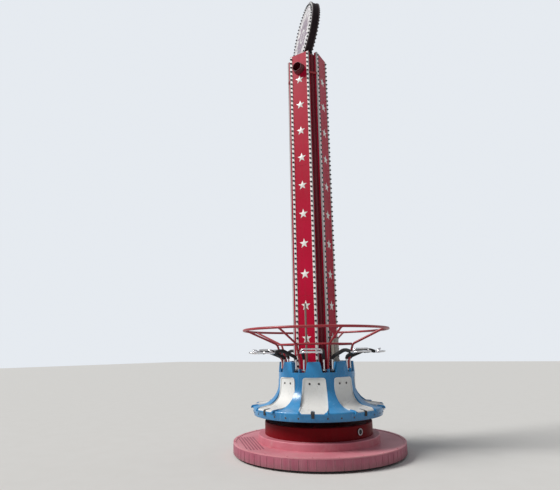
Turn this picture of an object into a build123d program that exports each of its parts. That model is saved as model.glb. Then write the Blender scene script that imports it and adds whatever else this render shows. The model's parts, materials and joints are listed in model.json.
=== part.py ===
"""Rotating tower ride: a ring of eight seats that climbs and turns on a lit mast.

Millimetres, +Z up, origin on the ground at the middle of the base. The mast's
front light panel faces -Y. Seats stand midway between the spokes of the crown.
"""
import math
import os

from build123d import *

os.makedirs("parts", exist_ok=True)

# Count of seats and the angles that follow from it
SEATS = 8
PITCH = 360 / SEATS
SEAT_ANGLES = [PITCH * (k + 0.5) for k in range(SEATS)]
SPOKE_ANGLES = [PITCH * k for k in range(SEATS)]
FACE_ANGLES = {"front": 0, "right": 90, "back": 180, "left": 270}
CORNER_ANGLES = [45, 135, 225, 315]

# Clearances
SEATING_GAP = 0.3
RUNNING_GAP = 6.0
PIN_GAP = 0.3

# Platform, step and drum
PLINTH_RADIUS = 1350
PLINTH_HEIGHT = 35
PLATFORM_RADIUS = 1410
PLATFORM_HEIGHT = 149
SKIRT_RIBS = 72
SKIRT_RIB_DEPTH = 6
DECK_THICKNESS = 6
DECK_RIM_WIDTH = 45
DECK_RIM_HEIGHT = 8
STEP_RADIUS = 1000
STEP_HEIGHT = 110
DRUM_RADIUS = 890
DRUM_HEIGHT = 200
DRUM_EDGE = 14
PORT_ANGLE = 71
PORT_DIAMETER = 105
PORT_HEIGHT = 105
PORT_DEPTH = 12

# Slewing ring and turntable
SLEW_OUTER_RADIUS = 430
SLEW_INNER_RADIUS = 340
SLEW_HEIGHT = 36
TURNTABLE_RADIUS = 440
TURNTABLE_THICKNESS = 22

# Mast and its light panels
MAST_TOP = 7300
MAST_HALF = 250
MAST_WALL = 8
PANEL_REACH = 330
PANEL_HALF_WIDTH = 205
PANEL_RETURN = 60
PANEL_SHEET = 4
PANEL_TOP = 7345
PANEL_SEAM_HEIGHTS = [2540, 4960]
PANEL_SEAM = 3
COLLAR_HEIGHT = 7000
COLLAR_BASE_DIAMETER = 230
COLLAR_MOUTH_DIAMETER = 184
COLLAR_LENGTH = 110
COLLAR_SHEET = 4
CORNER_ANGLE_LEG = 50
CORNER_ANGLE_THICKNESS = 6
CORNER_TIE_HEIGHT = 6870
CORNER_TIE_DEPTH = 40
CORNER_TIE_THICKNESS = 8
CORNER_TIE_INSET = 8
HEAD_PLATE = 12

# Disc sign on the mast head
DISC_RADIUS = 660
DISC_THICKNESS = 150
DISC_SHEET = 5
DISC_SINK = 22
DISC_ANGLE = -45
DISC_LEAN = 6.5
DISC_RIM_WIDTH = 46
DISC_RIM_PROUD = 12
DISC_FOOT_WIDTH = 90
DISC_FOOT_HEIGHT = 160
DISC_FOOT_THICKNESS = 12

# Gondola shell, as radius and height of its outline
SHELL_BOTTOM = 600
SHELL_FOOT_RADIUS = 1070
SHELL_RIM_RADIUS = 1088
SHELL_RIM_LOW = 700
SHELL_RIM_HIGH = 730
SHELL_HIP_RADIUS = 668
SHELL_HIP_HEIGHT = 790
SHELL_FLARE = 380
SHELL_SHOULDER_RADIUS = 648
SHELL_SHOULDER_HEIGHT = 1275
SHELL_WALL = 10
LEDGE_INNER_RADIUS = 530
MERLON_TOP = 1440
MERLON_LEAN = 14
MERLON_BASE_HALF = 136
MERLON_TOP_HALF = 100
MERLON_DEPTH = 75
MERLON_EDGE = 12
MERLON_CORNER = 22
JOINT_FLANGE_HEIGHT = 55
JOINT_FLANGE_THICKNESS = 7

# Seat insert
SEAT_TOP = 1200
SEAT_BACK_TOP_RADIUS = 630
SEAT_HIP_RADIUS = 643
SEAT_HIP_HEIGHT = 790
SEAT_FRONT_HEIGHT = 735
SEAT_FLARE = 230
SEAT_LOW = 700
SEAT_TOP_HALF = 180
SEAT_LOW_HALF = 224
SEAT_CORNER = 46
SEAT_THICKNESS = 12
SEAT_LIP_WIDTH = 16
SEAT_LIP_HEIGHT = 9
CROTCH_NOTCH_WIDTH = 62
CROTCH_NOTCH_DEPTH = 90
STRAP_WIDTH = 46
STRAP_THICKNESS = 7
STRAP_LOW = 655

# Restraint: a bar of two arms joined at the outer end
HINGE_RADIUS = 575
HINGE_RISE = 38
ARM_HALF_SPACING = 160
BAR_DIAMETER = 30
EYE_DIAMETER = 38
EYE_LENGTH = 30
PIN_DIAMETER = 16
LUG_THICKNESS = 5
LUG_GAP = 1.5
BRACKET_BASE = 6
LEG_TOP_RISE = 200
ARM_PEAK = (295, 318)
ARM_DIP = (455, 268)
BAR_TIP = (585, 282)
ARM_BENDS = (60, 200, 150)
BAR_TIP_CORNER = 90
PAD_DIAMETER = 58
PAD_START = 166
PAD_STOP = 636
HANDLE_DIAMETER = 24
HANDLE_TOP = (515, 325)
HANDLE_CORNER = 50

# Carriage that climbs the mast
CARRIAGE_INNER_HALF = 372
CARRIAGE_TUBE = 50
CARRIAGE_LOW = 640
CARRIAGE_DROP = 90
ROLLER_DIAMETER = 100
ROLLER_WIDTH = 40
ROLLER_GROOVE = 18
ROLLER_AXLE = 20
ROLLER_GAP = 1
ROLLER_CHEEK = 6
ROLLER_INSET = 90

# Crown above the seats
CROWN_LOW_RADIUS = 690
CROWN_LOW_HEIGHT = 1722
CROWN_TOP_RADIUS = 1250
CROWN_TOP_HEIGHT = 1968
CROWN_TUBE = 34
CROWN_RING_TUBE = 42
CROWN_SADDLE = 30
STRUT_FOOT_RADIUS = 590
STRUT_STRAIGHT = 80

# Box and limit rod on the carriage
BOX_WIDTH = 200
BOX_DEPTH = 55
BOX_TOP = 1817
BOX_SIDE = -80
ROD_DIAMETER = 34
ROD_TOP = 2391
ROD_SIDE = 64
ROD_CLEARANCE = 15
ROD_FOOT_WIDTH = 50
ROD_FOOT_THICKNESS = 10

# Heights that follow from the stack of the base, the mast and the shell
PLATFORM_TOP = PLINTH_HEIGHT + PLATFORM_HEIGHT
DECK_TOP = PLATFORM_TOP + DECK_THICKNESS
STEP_TOP = DECK_TOP + STEP_HEIGHT
DRUM_TOP = STEP_TOP + DRUM_HEIGHT
SLEW_TOP = DRUM_TOP + SLEW_HEIGHT
MAST_FOOT = SLEW_TOP + TURNTABLE_THICKNESS
DISC_CENTRE_HEIGHT = MAST_TOP + HEAD_PLATE + DISC_RADIUS - DISC_SINK
HINGE_HEIGHT = SHELL_SHOULDER_HEIGHT + HINGE_RISE
CARRIAGE_HIGH = SHELL_SHOULDER_HEIGHT - CARRIAGE_DROP


def save(name, shape):
    """Write one sub-part, a solid or a list of solids, to its own STEP file."""
    if isinstance(shape, list):
        shape = Compound(children=[solid for piece in shape for solid in piece.solids()])
    export_step(shape, f"parts/{name}.step")


def turned(shape, angle):
    """Turn a piece built along +X so that it points at an angle from -Y."""
    return Rot(0, 0, angle - 90) * shape


def ring_of(pieces, angles):
    """Copies of some pieces round the axis, kept as separate solids."""
    return [turned(piece, angle) for angle in angles for piece in pieces]


def tube(path, outer, inner=0):
    """Sweep a round bar or sleeve along a path."""
    start = Plane(path @ 0, z_dir=path % 0)
    section = start * Circle(outer / 2)
    if inner:
        section -= start * Circle(inner / 2)
    return sweep(section, path=path)


# The fixed base

def plinth():
    """Dark recessed plate that the platform stands on."""
    return Pos(0, 0, PLINTH_HEIGHT / 2) * Cylinder(PLINTH_RADIUS, PLINTH_HEIGHT)


def platform():
    """Closed round platform whose skirt has shallow upright grooves."""
    body = Cylinder(PLATFORM_RADIUS, PLATFORM_HEIGHT)
    body = Pos(0, 0, PLINTH_HEIGHT + PLATFORM_HEIGHT / 2) * body
    groove_height = PLATFORM_HEIGHT - 3 * SKIRT_RIB_DEPTH
    groove = Box(SKIRT_RIB_DEPTH * 2, SKIRT_RIB_DEPTH * 2, groove_height)
    groove = Pos(PLATFORM_RADIUS, 0, PLINTH_HEIGHT + groove_height / 2) * groove
    cuts = [Rot(0, 0, 360 / SKIRT_RIBS * k) * groove for k in range(SKIRT_RIBS)]
    return body - cuts


def deck():
    """Tread plate on the platform, with a low rim round its edge."""
    outline = [
        (STEP_RADIUS + SEATING_GAP, PLATFORM_TOP),
        (PLATFORM_RADIUS, PLATFORM_TOP),
        (PLATFORM_RADIUS, DECK_TOP + DECK_RIM_HEIGHT),
        (PLATFORM_RADIUS - DECK_RIM_WIDTH, DECK_TOP + DECK_RIM_HEIGHT),
        (PLATFORM_RADIUS - DECK_RIM_WIDTH - DECK_RIM_HEIGHT, DECK_TOP),
        (STEP_RADIUS + SEATING_GAP, DECK_TOP),
    ]
    face = make_face(Plane.XZ * Polyline(*outline, close=True))
    return revolve(face, Axis.Z)


def step():
    """Raised round step between the deck and the drum."""
    height = STEP_TOP - PLATFORM_TOP
    body = Pos(0, 0, PLATFORM_TOP + height / 2) * Cylinder(STEP_RADIUS, height)
    return fillet(body.edges().group_by(Axis.Z)[-1], DRUM_EDGE)


def drum():
    """Closed housing of the slewing drive, seated on the step."""
    body = Pos(0, 0, STEP_TOP + DRUM_HEIGHT / 2) * Cylinder(DRUM_RADIUS, DRUM_HEIGHT)
    return fillet(body.edges().group_by(Axis.Z)[-1], DRUM_EDGE)


def drum_port():
    """Round inspection port with a raised ring, let against the drum's wall."""
    ring = Cylinder(PORT_DIAMETER / 2, PORT_DEPTH) - Cylinder(PORT_DIAMETER / 2 - 12, PORT_DEPTH)
    cap = Pos(0, 0, -PORT_DEPTH / 4) * Cylinder(PORT_DIAMETER / 2 - 12, PORT_DEPTH / 2)
    port = Pos(DRUM_RADIUS + PORT_DEPTH / 2 - 1, 0, STEP_TOP + PORT_HEIGHT) * Rot(0, 90, 0) * (ring + cap)
    return turned(port - turned(drum(), 90), PORT_ANGLE)


def slew_ring():
    """Fixed outer ring of the slewing bearing."""
    ring = Cylinder(SLEW_OUTER_RADIUS, SLEW_HEIGHT) - Cylinder(SLEW_INNER_RADIUS, SLEW_HEIGHT)
    return Pos(0, 0, DRUM_TOP + SLEW_HEIGHT / 2) * ring


# The turning mast

def turntable():
    """Plate on the bearing, with a spigot that drops inside the ring."""
    plate = Pos(0, 0, SLEW_TOP + TURNTABLE_THICKNESS / 2) * Cylinder(TURNTABLE_RADIUS, TURNTABLE_THICKNESS)
    plate = Pos(0, 0, SEATING_GAP) * plate
    spigot_height = SLEW_HEIGHT - RUNNING_GAP
    spigot = Cylinder(SLEW_INNER_RADIUS - SEATING_GAP, spigot_height)
    return plate + Pos(0, 0, SLEW_TOP + SEATING_GAP - spigot_height / 2) * spigot


def mast():
    """Square mast tube that the panels hang on and the carriage climbs."""
    height = MAST_TOP - MAST_FOOT - SEATING_GAP
    outer = Box(2 * MAST_HALF, 2 * MAST_HALF, height)
    inner = Box(2 * (MAST_HALF - MAST_WALL), 2 * (MAST_HALF - MAST_WALL), height)
    return Pos(0, 0, MAST_TOP - height / 2) * (outer - inner)


def light_panel(with_opening):
    """Folded tray on one face of the mast, built facing +X."""
    height = PANEL_TOP - MAST_FOOT - SEATING_GAP - RUNNING_GAP
    outer = Box(PANEL_RETURN, 2 * PANEL_HALF_WIDTH, height)
    inner = Box(PANEL_RETURN, 2 * (PANEL_HALF_WIDTH - PANEL_SHEET), height - PANEL_SHEET)
    tray = outer - Pos(-PANEL_SHEET, 0, -PANEL_SHEET / 2) * inner
    tray = fillet(tray.edges().filter_by(Axis.Z).group_by(Axis.X)[-1], PANEL_SHEET / 2)
    tray = Pos(PANEL_REACH - PANEL_RETURN / 2, 0, PANEL_TOP - height / 2) * tray
    for seam_height in PANEL_SEAM_HEIGHTS:
        seam = Box(PANEL_SHEET / 2, 2 * PANEL_HALF_WIDTH, PANEL_SEAM)
        tray -= Pos(PANEL_REACH - PANEL_SHEET / 4, 0, seam_height) * seam
    if with_opening:
        hole = Cylinder(COLLAR_BASE_DIAMETER / 2 - COLLAR_SHEET, 4 * PANEL_SHEET)
        tray -= Pos(PANEL_REACH, 0, COLLAR_HEIGHT) * Rot(0, 90, 0) * hole
    return tray


def panel_collar():
    """Tapered collar of sheet round the opening in the front panel."""
    base = COLLAR_BASE_DIAMETER / 2
    mouth = COLLAR_MOUTH_DIAMETER / 2
    collar = Cone(base, mouth, COLLAR_LENGTH)
    collar -= Cone(base - COLLAR_SHEET, mouth - COLLAR_SHEET, COLLAR_LENGTH)
    reach = PANEL_REACH + SEATING_GAP + COLLAR_LENGTH / 2
    return Pos(reach, 0, COLLAR_HEIGHT) * Rot(0, 90, 0) * collar


def panel_spacers():
    """Angles between the mast's faces and the returns of the panels."""
    depth = PANEL_REACH - PANEL_RETURN - MAST_HALF
    length = MAST_TOP - MAST_FOOT - 2 * RUNNING_GAP
    bar = Box(depth, 24, length)
    pair = []
    for side in (-1, 1):
        place = Pos(MAST_HALF + depth / 2, side * (PANEL_HALF_WIDTH - 12), MAST_TOP - length / 2)
        pair.append(place * bar)
    return ring_of(pair, FACE_ANGLES.values())


def guide_rails():
    """Steel angles on the four corners of the mast, for the rollers to run on."""
    length = MAST_TOP - MAST_FOOT - 2 * RUNNING_GAP
    outer = MAST_HALF + CORNER_ANGLE_THICKNESS
    middle = outer - CORNER_ANGLE_LEG / 2
    angle = Pos(middle, middle, 0) * Box(CORNER_ANGLE_LEG, CORNER_ANGLE_LEG, length)
    angle -= Box(2 * MAST_HALF, 2 * MAST_HALF, length)
    angle = Rot(0, 0, -45) * Pos(0, 0, MAST_TOP - length / 2) * angle
    return ring_of([angle], CORNER_ANGLES)


def corner_ties():
    """Short flat bars across the corner recesses near the top."""
    near = PANEL_HALF_WIDTH + SEATING_GAP
    far = PANEL_REACH - CORNER_TIE_INSET
    back = far - CORNER_TIE_THICKNESS * math.sqrt(2)
    outline = Polygon((near, far), (far, near), (back, near), (near, back), align=None)
    tie = extrude(outline, CORNER_TIE_DEPTH / 2, both=True)
    return ring_of([Rot(0, 0, -45) * Pos(0, 0, CORNER_TIE_HEIGHT) * tie], CORNER_ANGLES)


def head_plate():
    """Plate that closes the mast under the disc sign."""
    plate = Pos(0, 0, MAST_TOP + HEAD_PLATE / 2) * Box(2 * MAST_HALF, 2 * MAST_HALF, HEAD_PLATE)
    slot = Cylinder(DISC_RADIUS + RUNNING_GAP, DISC_THICKNESS + 2 * SEATING_GAP)
    return plate - disc_place() * Rot(0, 90, 0) * slot


def disc_place():
    """Centre and lean of the disc sign, whose axis is built along +X."""
    return Pos(0, 0, DISC_CENTRE_HEIGHT) * Rot(0, 0, DISC_ANGLE - 90) * Rot(0, -DISC_LEAN, 0)


def disc_body():
    """Hollow drum of the sign: two faces and a rim of sheet."""
    body = Cylinder(DISC_RADIUS - DISC_RIM_PROUD, DISC_THICKNESS)
    body -= Cylinder(DISC_RADIUS - DISC_RIM_PROUD - DISC_SHEET, DISC_THICKNESS - 2 * DISC_SHEET)
    return disc_place() * Rot(0, 90, 0) * body


def disc_trims():
    """Two flat bands round the edges of the faces, which carry the lamps."""
    outer = DISC_RADIUS
    inner = DISC_RADIUS - DISC_RIM_PROUD + SEATING_GAP
    bands = []
    for side in (-1, 1):
        band = Cylinder(outer, DISC_RIM_WIDTH / 2) - Cylinder(inner, DISC_RIM_WIDTH / 2)
        offset = side * (DISC_THICKNESS / 2 - DISC_RIM_WIDTH / 4)
        bands.append(disc_place() * Rot(0, 90, 0) * Pos(0, 0, offset) * band)
    return bands


def disc_feet():
    """Two cheeks against the faces of the disc, standing on the head plate."""
    foot = MAST_TOP + HEAD_PLATE
    low = foot - DISC_CENTRE_HEIGHT - DISC_THICKNESS
    high = foot - DISC_CENTRE_HEIGHT + DISC_FOOT_HEIGHT
    outline = Plane.YZ * Polygon(
        (-2 * DISC_FOOT_WIDTH, low),
        (2 * DISC_FOOT_WIDTH, low),
        (DISC_FOOT_WIDTH, high),
        (-DISC_FOOT_WIDTH, high),
        align=None,
    )
    cheek = extrude(outline, DISC_FOOT_THICKNESS / 2, both=True)
    offset = (DISC_THICKNESS + DISC_FOOT_THICKNESS) / 2 + SEATING_GAP
    below = Pos(0, 0, foot - DISC_THICKNESS) * Box(4 * MAST_HALF, 4 * MAST_HALF, 2 * DISC_THICKNESS)
    return [disc_place() * Pos(side * offset, 0, 0) * cheek - below for side in (-1, 1)]


# The gondola: one sector of shell to each seat

def seat_line(depth):
    """Seat outline in the XZ plane, set back by a depth from its surface."""
    return FilletPolyline(
        (SEAT_BACK_TOP_RADIUS - depth, SEAT_TOP),
        (SEAT_HIP_RADIUS - depth, SEAT_HIP_HEIGHT - depth),
        (SHELL_RIM_RADIUS + 6 - depth, SEAT_FRONT_HEIGHT - depth),
        (SHELL_RIM_RADIUS + 4 - depth, SEAT_LOW),
        radius=[SEAT_FLARE + depth, 26 - depth],
    )


def shell_line():
    """Bell outline of the shell between two seats, from rim to shoulder."""
    return FilletPolyline(
        (SHELL_RIM_RADIUS, SHELL_RIM_LOW),
        (SHELL_RIM_RADIUS, SHELL_RIM_HIGH),
        (SHELL_HIP_RADIUS, SHELL_HIP_HEIGHT),
        (SHELL_SHOULDER_RADIUS, SHELL_SHOULDER_HEIGHT),
        radius=[18, SHELL_FLARE],
    )


def bell_face():
    """Section of the shell's wall, with the ledge at its shoulder."""
    back = SEAT_THICKNESS + SHELL_WALL
    outer = shell_line()
    inner = FilletPolyline(
        (SEAT_BACK_TOP_RADIUS - back, SHELL_SHOULDER_HEIGHT - SHELL_WALL),
        (SEAT_HIP_RADIUS - back, SEAT_HIP_HEIGHT - back),
        (SHELL_RIM_RADIUS - SHELL_WALL - 8, SEAT_FRONT_HEIGHT - back),
        radius=SEAT_FLARE + back,
    )
    rest = Polyline(
        inner @ 1,
        (SHELL_FOOT_RADIUS - SHELL_WALL, SHELL_BOTTOM),
        (SHELL_FOOT_RADIUS, SHELL_BOTTOM),
        outer @ 0,
    )
    top = Polyline(
        outer @ 1,
        (LEDGE_INNER_RADIUS, SHELL_SHOULDER_HEIGHT),
        (LEDGE_INNER_RADIUS, SHELL_SHOULDER_HEIGHT - SHELL_WALL),
        inner @ 0,
    )
    return make_face(Plane.XZ * Wire([*outer.edges(), *top.edges(), *inner.edges(), *rest.edges()]))


def sector_of(face):
    """Turn a section through one seat's share of the circle."""
    return Rot(0, 0, -PITCH / 2) * revolve(face, Axis.Z, revolution_arc=PITCH)


def seat_outline(inset=0.0):
    """Front outline of a seat insert, as a face looking along X."""
    slope = (SEAT_LOW_HALF - SEAT_TOP_HALF) / (SEAT_TOP - SEAT_LOW)
    low = SEAT_LOW - 120
    low_half = SEAT_LOW_HALF + slope * 120
    outline = Plane.YZ * Polygon(
        (-SEAT_TOP_HALF + inset, SEAT_TOP - inset),
        (SEAT_TOP_HALF - inset, SEAT_TOP - inset),
        (low_half - inset, low),
        (-low_half + inset, low),
        align=None,
    )
    return fillet(outline.vertices().group_by(Axis.Z)[-1], SEAT_CORNER - inset)


def seat_slab(front, back):
    """Slab between two depths of the seat outline, one sector wide."""
    near = seat_line(front)
    far = seat_line(back)
    ends = [Line(near @ 1, far @ 1), Line(far @ 0, near @ 0)]
    edges = [*near.edges(), *ends[0].edges(), *far.edges(), *ends[1].edges()]
    face = make_face(Plane.XZ * Wire(edges))
    return extrude(face, SEAT_LOW_HALF + 40, both=True)


def seat_prism(inset=0.0):
    """Everything behind the seat's front outline."""
    return Pos(LEDGE_INNER_RADIUS, 0, 0) * extrude(seat_outline(inset), SHELL_RIM_RADIUS, dir=(1, 0, 0))


def seat_recess():
    """Space that a seat insert and the rider take out of the shell."""
    floor = seat_line(SEAT_THICKNESS)
    rest = Polyline(
        floor @ 1,
        (SHELL_RIM_RADIUS + 80, SEAT_LOW),
        (SHELL_RIM_RADIUS + 80, SEAT_TOP),
        floor @ 0,
    )
    face = make_face(Plane.XZ * Wire([*floor.edges(), *rest.edges()]))
    return extrude(face, SEAT_LOW_HALF + 40, both=True) & seat_prism()


def merlon_block(inset):
    """Leaning tapered block above a seat, drawn in by a wall's thickness."""
    top = MERLON_TOP - inset
    front = SHELL_SHOULDER_RADIUS - inset
    back = SHELL_SHOULDER_RADIUS - MERLON_DEPTH + inset
    section = Polyline(
        (front, SHELL_SHOULDER_HEIGHT),
        (front - MERLON_LEAN, top),
        (back - MERLON_LEAN, top),
        (back, SHELL_SHOULDER_HEIGHT),
        close=True,
    )
    wall = sector_of(make_face(Plane.XZ * section))
    outline = Plane.YZ * Polygon(
        (-MERLON_BASE_HALF + inset, SHELL_SHOULDER_HEIGHT),
        (MERLON_BASE_HALF - inset, SHELL_SHOULDER_HEIGHT),
        (MERLON_TOP_HALF - inset, top),
        (-MERLON_TOP_HALF + inset, top),
        align=None,
    )
    outline = fillet(outline.vertices().group_by(Axis.Z)[-1], MERLON_CORNER - inset)
    return wall & Pos(LEDGE_INNER_RADIUS, 0, 0) * extrude(outline, SHELL_SHOULDER_RADIUS, dir=(1, 0, 0))


def merlon():
    """Hollow headrest above a seat, rounded all round its front face."""
    block = merlon_block(0)
    middle = SHELL_SHOULDER_RADIUS - MERLON_LEAN - MERLON_DEPTH / 2
    front = [e for e in block.edges() if e.center().X > middle and e.length > MERLON_EDGE]
    front = [e for e in front if e.center().Z > SHELL_SHOULDER_HEIGHT + SEATING_GAP]
    outline = [e for e in front if abs(e.tangent_at(0.5).X) < 0.2]
    return fillet(outline, MERLON_EDGE) - merlon_block(SHELL_WALL)


def joint_flanges():
    """Upstands where neighbouring sectors bolt together in the notches."""
    depth = SHELL_SHOULDER_RADIUS - LEDGE_INNER_RADIUS - 20
    flange = Box(depth, JOINT_FLANGE_THICKNESS, JOINT_FLANGE_HEIGHT)
    middle = (SHELL_SHOULDER_RADIUS + LEDGE_INNER_RADIUS) / 2
    height = SHELL_SHOULDER_HEIGHT + JOINT_FLANGE_HEIGHT / 2
    parts = []
    for side in (-1, 1):
        place = Rot(0, 0, side * PITCH / 2) * Pos(middle, -side * JOINT_FLANGE_THICKNESS / 2, height)
        parts.append(place * flange)
    return parts


def shell_sector():
    """One eighth of the gondola shell, built round a seat on +X."""
    body = sector_of(bell_face()) - seat_recess()
    body = body + merlon()
    for flange in joint_flanges():
        body = body + flange
    return body


def seat_insert():
    """White seat: thin curved panel with a raised lip and a front notch."""
    panel = seat_slab(0, SEAT_THICKNESS - SEATING_GAP) & seat_prism(1)
    ring = seat_prism(1) - seat_prism(1 + SEAT_LIP_WIDTH)
    lip = seat_slab(-SEAT_LIP_HEIGHT, 0.0) & ring
    notch = Pos(SHELL_RIM_RADIUS, 0, SEAT_FRONT_HEIGHT) * Box(2 * CROTCH_NOTCH_DEPTH, CROTCH_NOTCH_WIDTH, 200)
    end = Pos(SHELL_RIM_RADIUS - CROTCH_NOTCH_DEPTH, 0, SEAT_FRONT_HEIGHT)
    notch = notch + end * Cylinder(CROTCH_NOTCH_WIDTH / 2, 200)
    return (panel + lip) - notch


def crotch_strap():
    """Strap on the shell in the seat's notch, which hangs over the rim."""
    start = SHELL_RIM_RADIUS - CROTCH_NOTCH_DEPTH
    front = SHELL_RIM_RADIUS + 6 - SEAT_THICKNESS
    slope = (SEAT_HIP_HEIGHT - SEAT_FRONT_HEIGHT) / (SHELL_RIM_RADIUS + 6 - SEAT_HIP_RADIUS)
    floor = SEAT_FRONT_HEIGHT - SEAT_THICKNESS
    sides = []
    for lift in (SEATING_GAP, SEATING_GAP + STRAP_THICKNESS):
        edge = SHELL_RIM_RADIUS + lift
        corners = [
            (start, floor + slope * (front - start) + lift),
            (edge, floor + slope * (front - edge) + lift),
            (edge, STRAP_LOW),
        ]
        sides.append(FilletPolyline(*corners, radius=14 + lift))
    ends = [Line(sides[0] @ 1, sides[1] @ 1), Line(sides[1] @ 0, sides[0] @ 0)]
    band = make_face(Plane.XZ * Wire([*sides[0].edges(), *ends[0].edges(), *sides[1].edges(), *ends[1].edges()]))
    return extrude(band, STRAP_WIDTH / 2, both=True)


# Restraints

def bar_point(offset, side):
    """Point of the restraint bar, from its offsets to the hinge."""
    return (HINGE_RADIUS + offset[0], side * ARM_HALF_SPACING, HINGE_HEIGHT + offset[1])


def arm_points(foot):
    """Corners of one arm's centre line, out to the tip."""
    return [(0, foot), (0, LEG_TOP_RISE), ARM_PEAK, ARM_DIP, BAR_TIP]


def bar_line():
    """Centre line of the whole bar, up one arm and down the other."""
    half = arm_points(EYE_DIAMETER / 2 - BRACKET_BASE)
    points = [bar_point(p, -1) for p in half] + [bar_point(p, 1) for p in reversed(half)]
    bends = [*ARM_BENDS, BAR_TIP_CORNER]
    return FilletPolyline(*points, radius=bends + bends[::-1])


def handle_line():
    """Centre line of the grab handle between the pads' ends."""
    half = [ARM_DIP, HANDLE_TOP]
    points = [bar_point(p, -1) for p in half] + [bar_point(p, 1) for p in reversed(half)]
    return FilletPolyline(*points, radius=HANDLE_CORNER)


def restraint_bar():
    """Chrome bar with an eye at each foot and a grab handle before the tip."""
    body = tube(bar_line(), BAR_DIAMETER) + tube(handle_line(), HANDLE_DIAMETER)
    for side in (-1, 1):
        place = Pos(HINGE_RADIUS, side * ARM_HALF_SPACING, HINGE_HEIGHT) * Rot(90, 0, 0)
        body += place * Cylinder(EYE_DIAMETER / 2, EYE_LENGTH)
        body -= place * Cylinder(PIN_DIAMETER / 2 + PIN_GAP, EYE_LENGTH * 2)
    return body


def restraint_pads():
    """Foam sleeves on both arms, from the leg's top to the handle."""
    pads = []
    for side in (-1, 1):
        arm = FilletPolyline(*[bar_point(p, side) for p in arm_points(0)], radius=ARM_BENDS)
        span = arm.trim(PAD_START / arm.length, PAD_STOP / arm.length)
        pads.append(tube(span, PAD_DIAMETER, BAR_DIAMETER + 2 * SEATING_GAP))
    return pads


def hinge_bracket():
    """Two lugs and a pin on a base plate, for one foot of a bar."""
    width = EYE_LENGTH + 2 * (LUG_GAP + LUG_THICKNESS)
    base_top = SHELL_SHOULDER_HEIGHT + SEATING_GAP + BRACKET_BASE
    body = Box(64, width, BRACKET_BASE)
    body = Pos(0, 0, SHELL_SHOULDER_HEIGHT + SEATING_GAP + BRACKET_BASE / 2) * body
    lug_height = HINGE_HEIGHT - base_top
    for side in (-1, 1):
        lug = Box(40, LUG_THICKNESS, lug_height)
        head = Rot(90, 0, 0) * Cylinder(20, LUG_THICKNESS)
        offset = side * (width - LUG_THICKNESS) / 2
        body += Pos(0, offset, base_top + lug_height / 2) * lug
        body += Pos(0, offset, HINGE_HEIGHT) * head
    pin = Pos(0, 0, HINGE_HEIGHT) * Rot(90, 0, 0) * Cylinder(PIN_DIAMETER / 2, width + 6)
    return body + pin


def hinge_brackets():
    """Both brackets of one seat."""
    return [Pos(HINGE_RADIUS, side * ARM_HALF_SPACING, 0) * hinge_bracket() for side in (-1, 1)]


# Carriage

def carriage_ring(height):
    """Square ring of box tube round the mast."""
    outer = CARRIAGE_INNER_HALF + CARRIAGE_TUBE
    ring = Box(2 * outer, 2 * outer, CARRIAGE_TUBE)
    ring -= Box(2 * CARRIAGE_INNER_HALF, 2 * CARRIAGE_INNER_HALF, CARRIAGE_TUBE)
    return Pos(0, 0, height + CARRIAGE_TUBE / 2) * ring


def wall_radius(height, high, low):
    """Inner radius of the shell at a height, between two points of its wall."""
    share = (height - low[1]) / (high[1] - low[1])
    return low[0] + share * (high[0] - low[0])


def back_wall_reach():
    """How far an arm reaches to seat on the wall behind the seats."""
    back = SEAT_THICKNESS + SHELL_WALL
    high = (SEAT_BACK_TOP_RADIUS - back, SHELL_SHOULDER_HEIGHT - SHELL_WALL)
    low = (SEAT_HIP_RADIUS - back, SEAT_HIP_HEIGHT - back)
    return wall_radius(CARRIAGE_HIGH + CARRIAGE_TUBE, high, low) - SEATING_GAP


def rim_wall_reach():
    """How far an arm reaches to seat on the wall under the rim."""
    back = SEAT_THICKNESS + SHELL_WALL
    high = (SHELL_RIM_RADIUS - SHELL_WALL - 8, SEAT_FRONT_HEIGHT - back)
    low = (SHELL_FOOT_RADIUS - SHELL_WALL, SHELL_BOTTOM)
    return wall_radius(CARRIAGE_LOW, high, low) - SEATING_GAP


def carriage_frame(height, radius):
    """Square ring with an arm out to each joint of the shell."""
    ring = carriage_ring(height)
    reach = math.sqrt(radius ** 2 - (CARRIAGE_TUBE / 2) ** 2)
    arm = Box(reach, CARRIAGE_TUBE, CARRIAGE_TUBE)
    arm = Pos(reach / 2, 0, height + CARRIAGE_TUBE / 2) * arm
    arms = [turned(arm, a) for a in SPOKE_ANGLES]
    bore = Box(2 * CARRIAGE_INNER_HALF, 2 * CARRIAGE_INNER_HALF, CARRIAGE_TUBE)
    bore = Pos(0, 0, height + CARRIAGE_TUBE / 2) * bore
    frame = ring
    for piece in arms:
        frame = frame + (piece - bore)
    return frame


def post_reach():
    """Distance of the carriage's posts from the axis."""
    return (CARRIAGE_INNER_HALF + CARRIAGE_TUBE / 2) * math.sqrt(2)


def roller_places():
    """Centres of the two rollers on one corner, as offsets from the axis."""
    apex = (MAST_HALF + CORNER_ANGLE_THICKNESS) * math.sqrt(2)
    reach = apex + ROLLER_GAP + ROLLER_DIAMETER / 2 - ROLLER_GROOVE
    low = CARRIAGE_LOW + CARRIAGE_TUBE + ROLLER_INSET
    high = CARRIAGE_HIGH - ROLLER_INSET
    return [Pos(reach, 0, height) for height in (low, high)]


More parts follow.
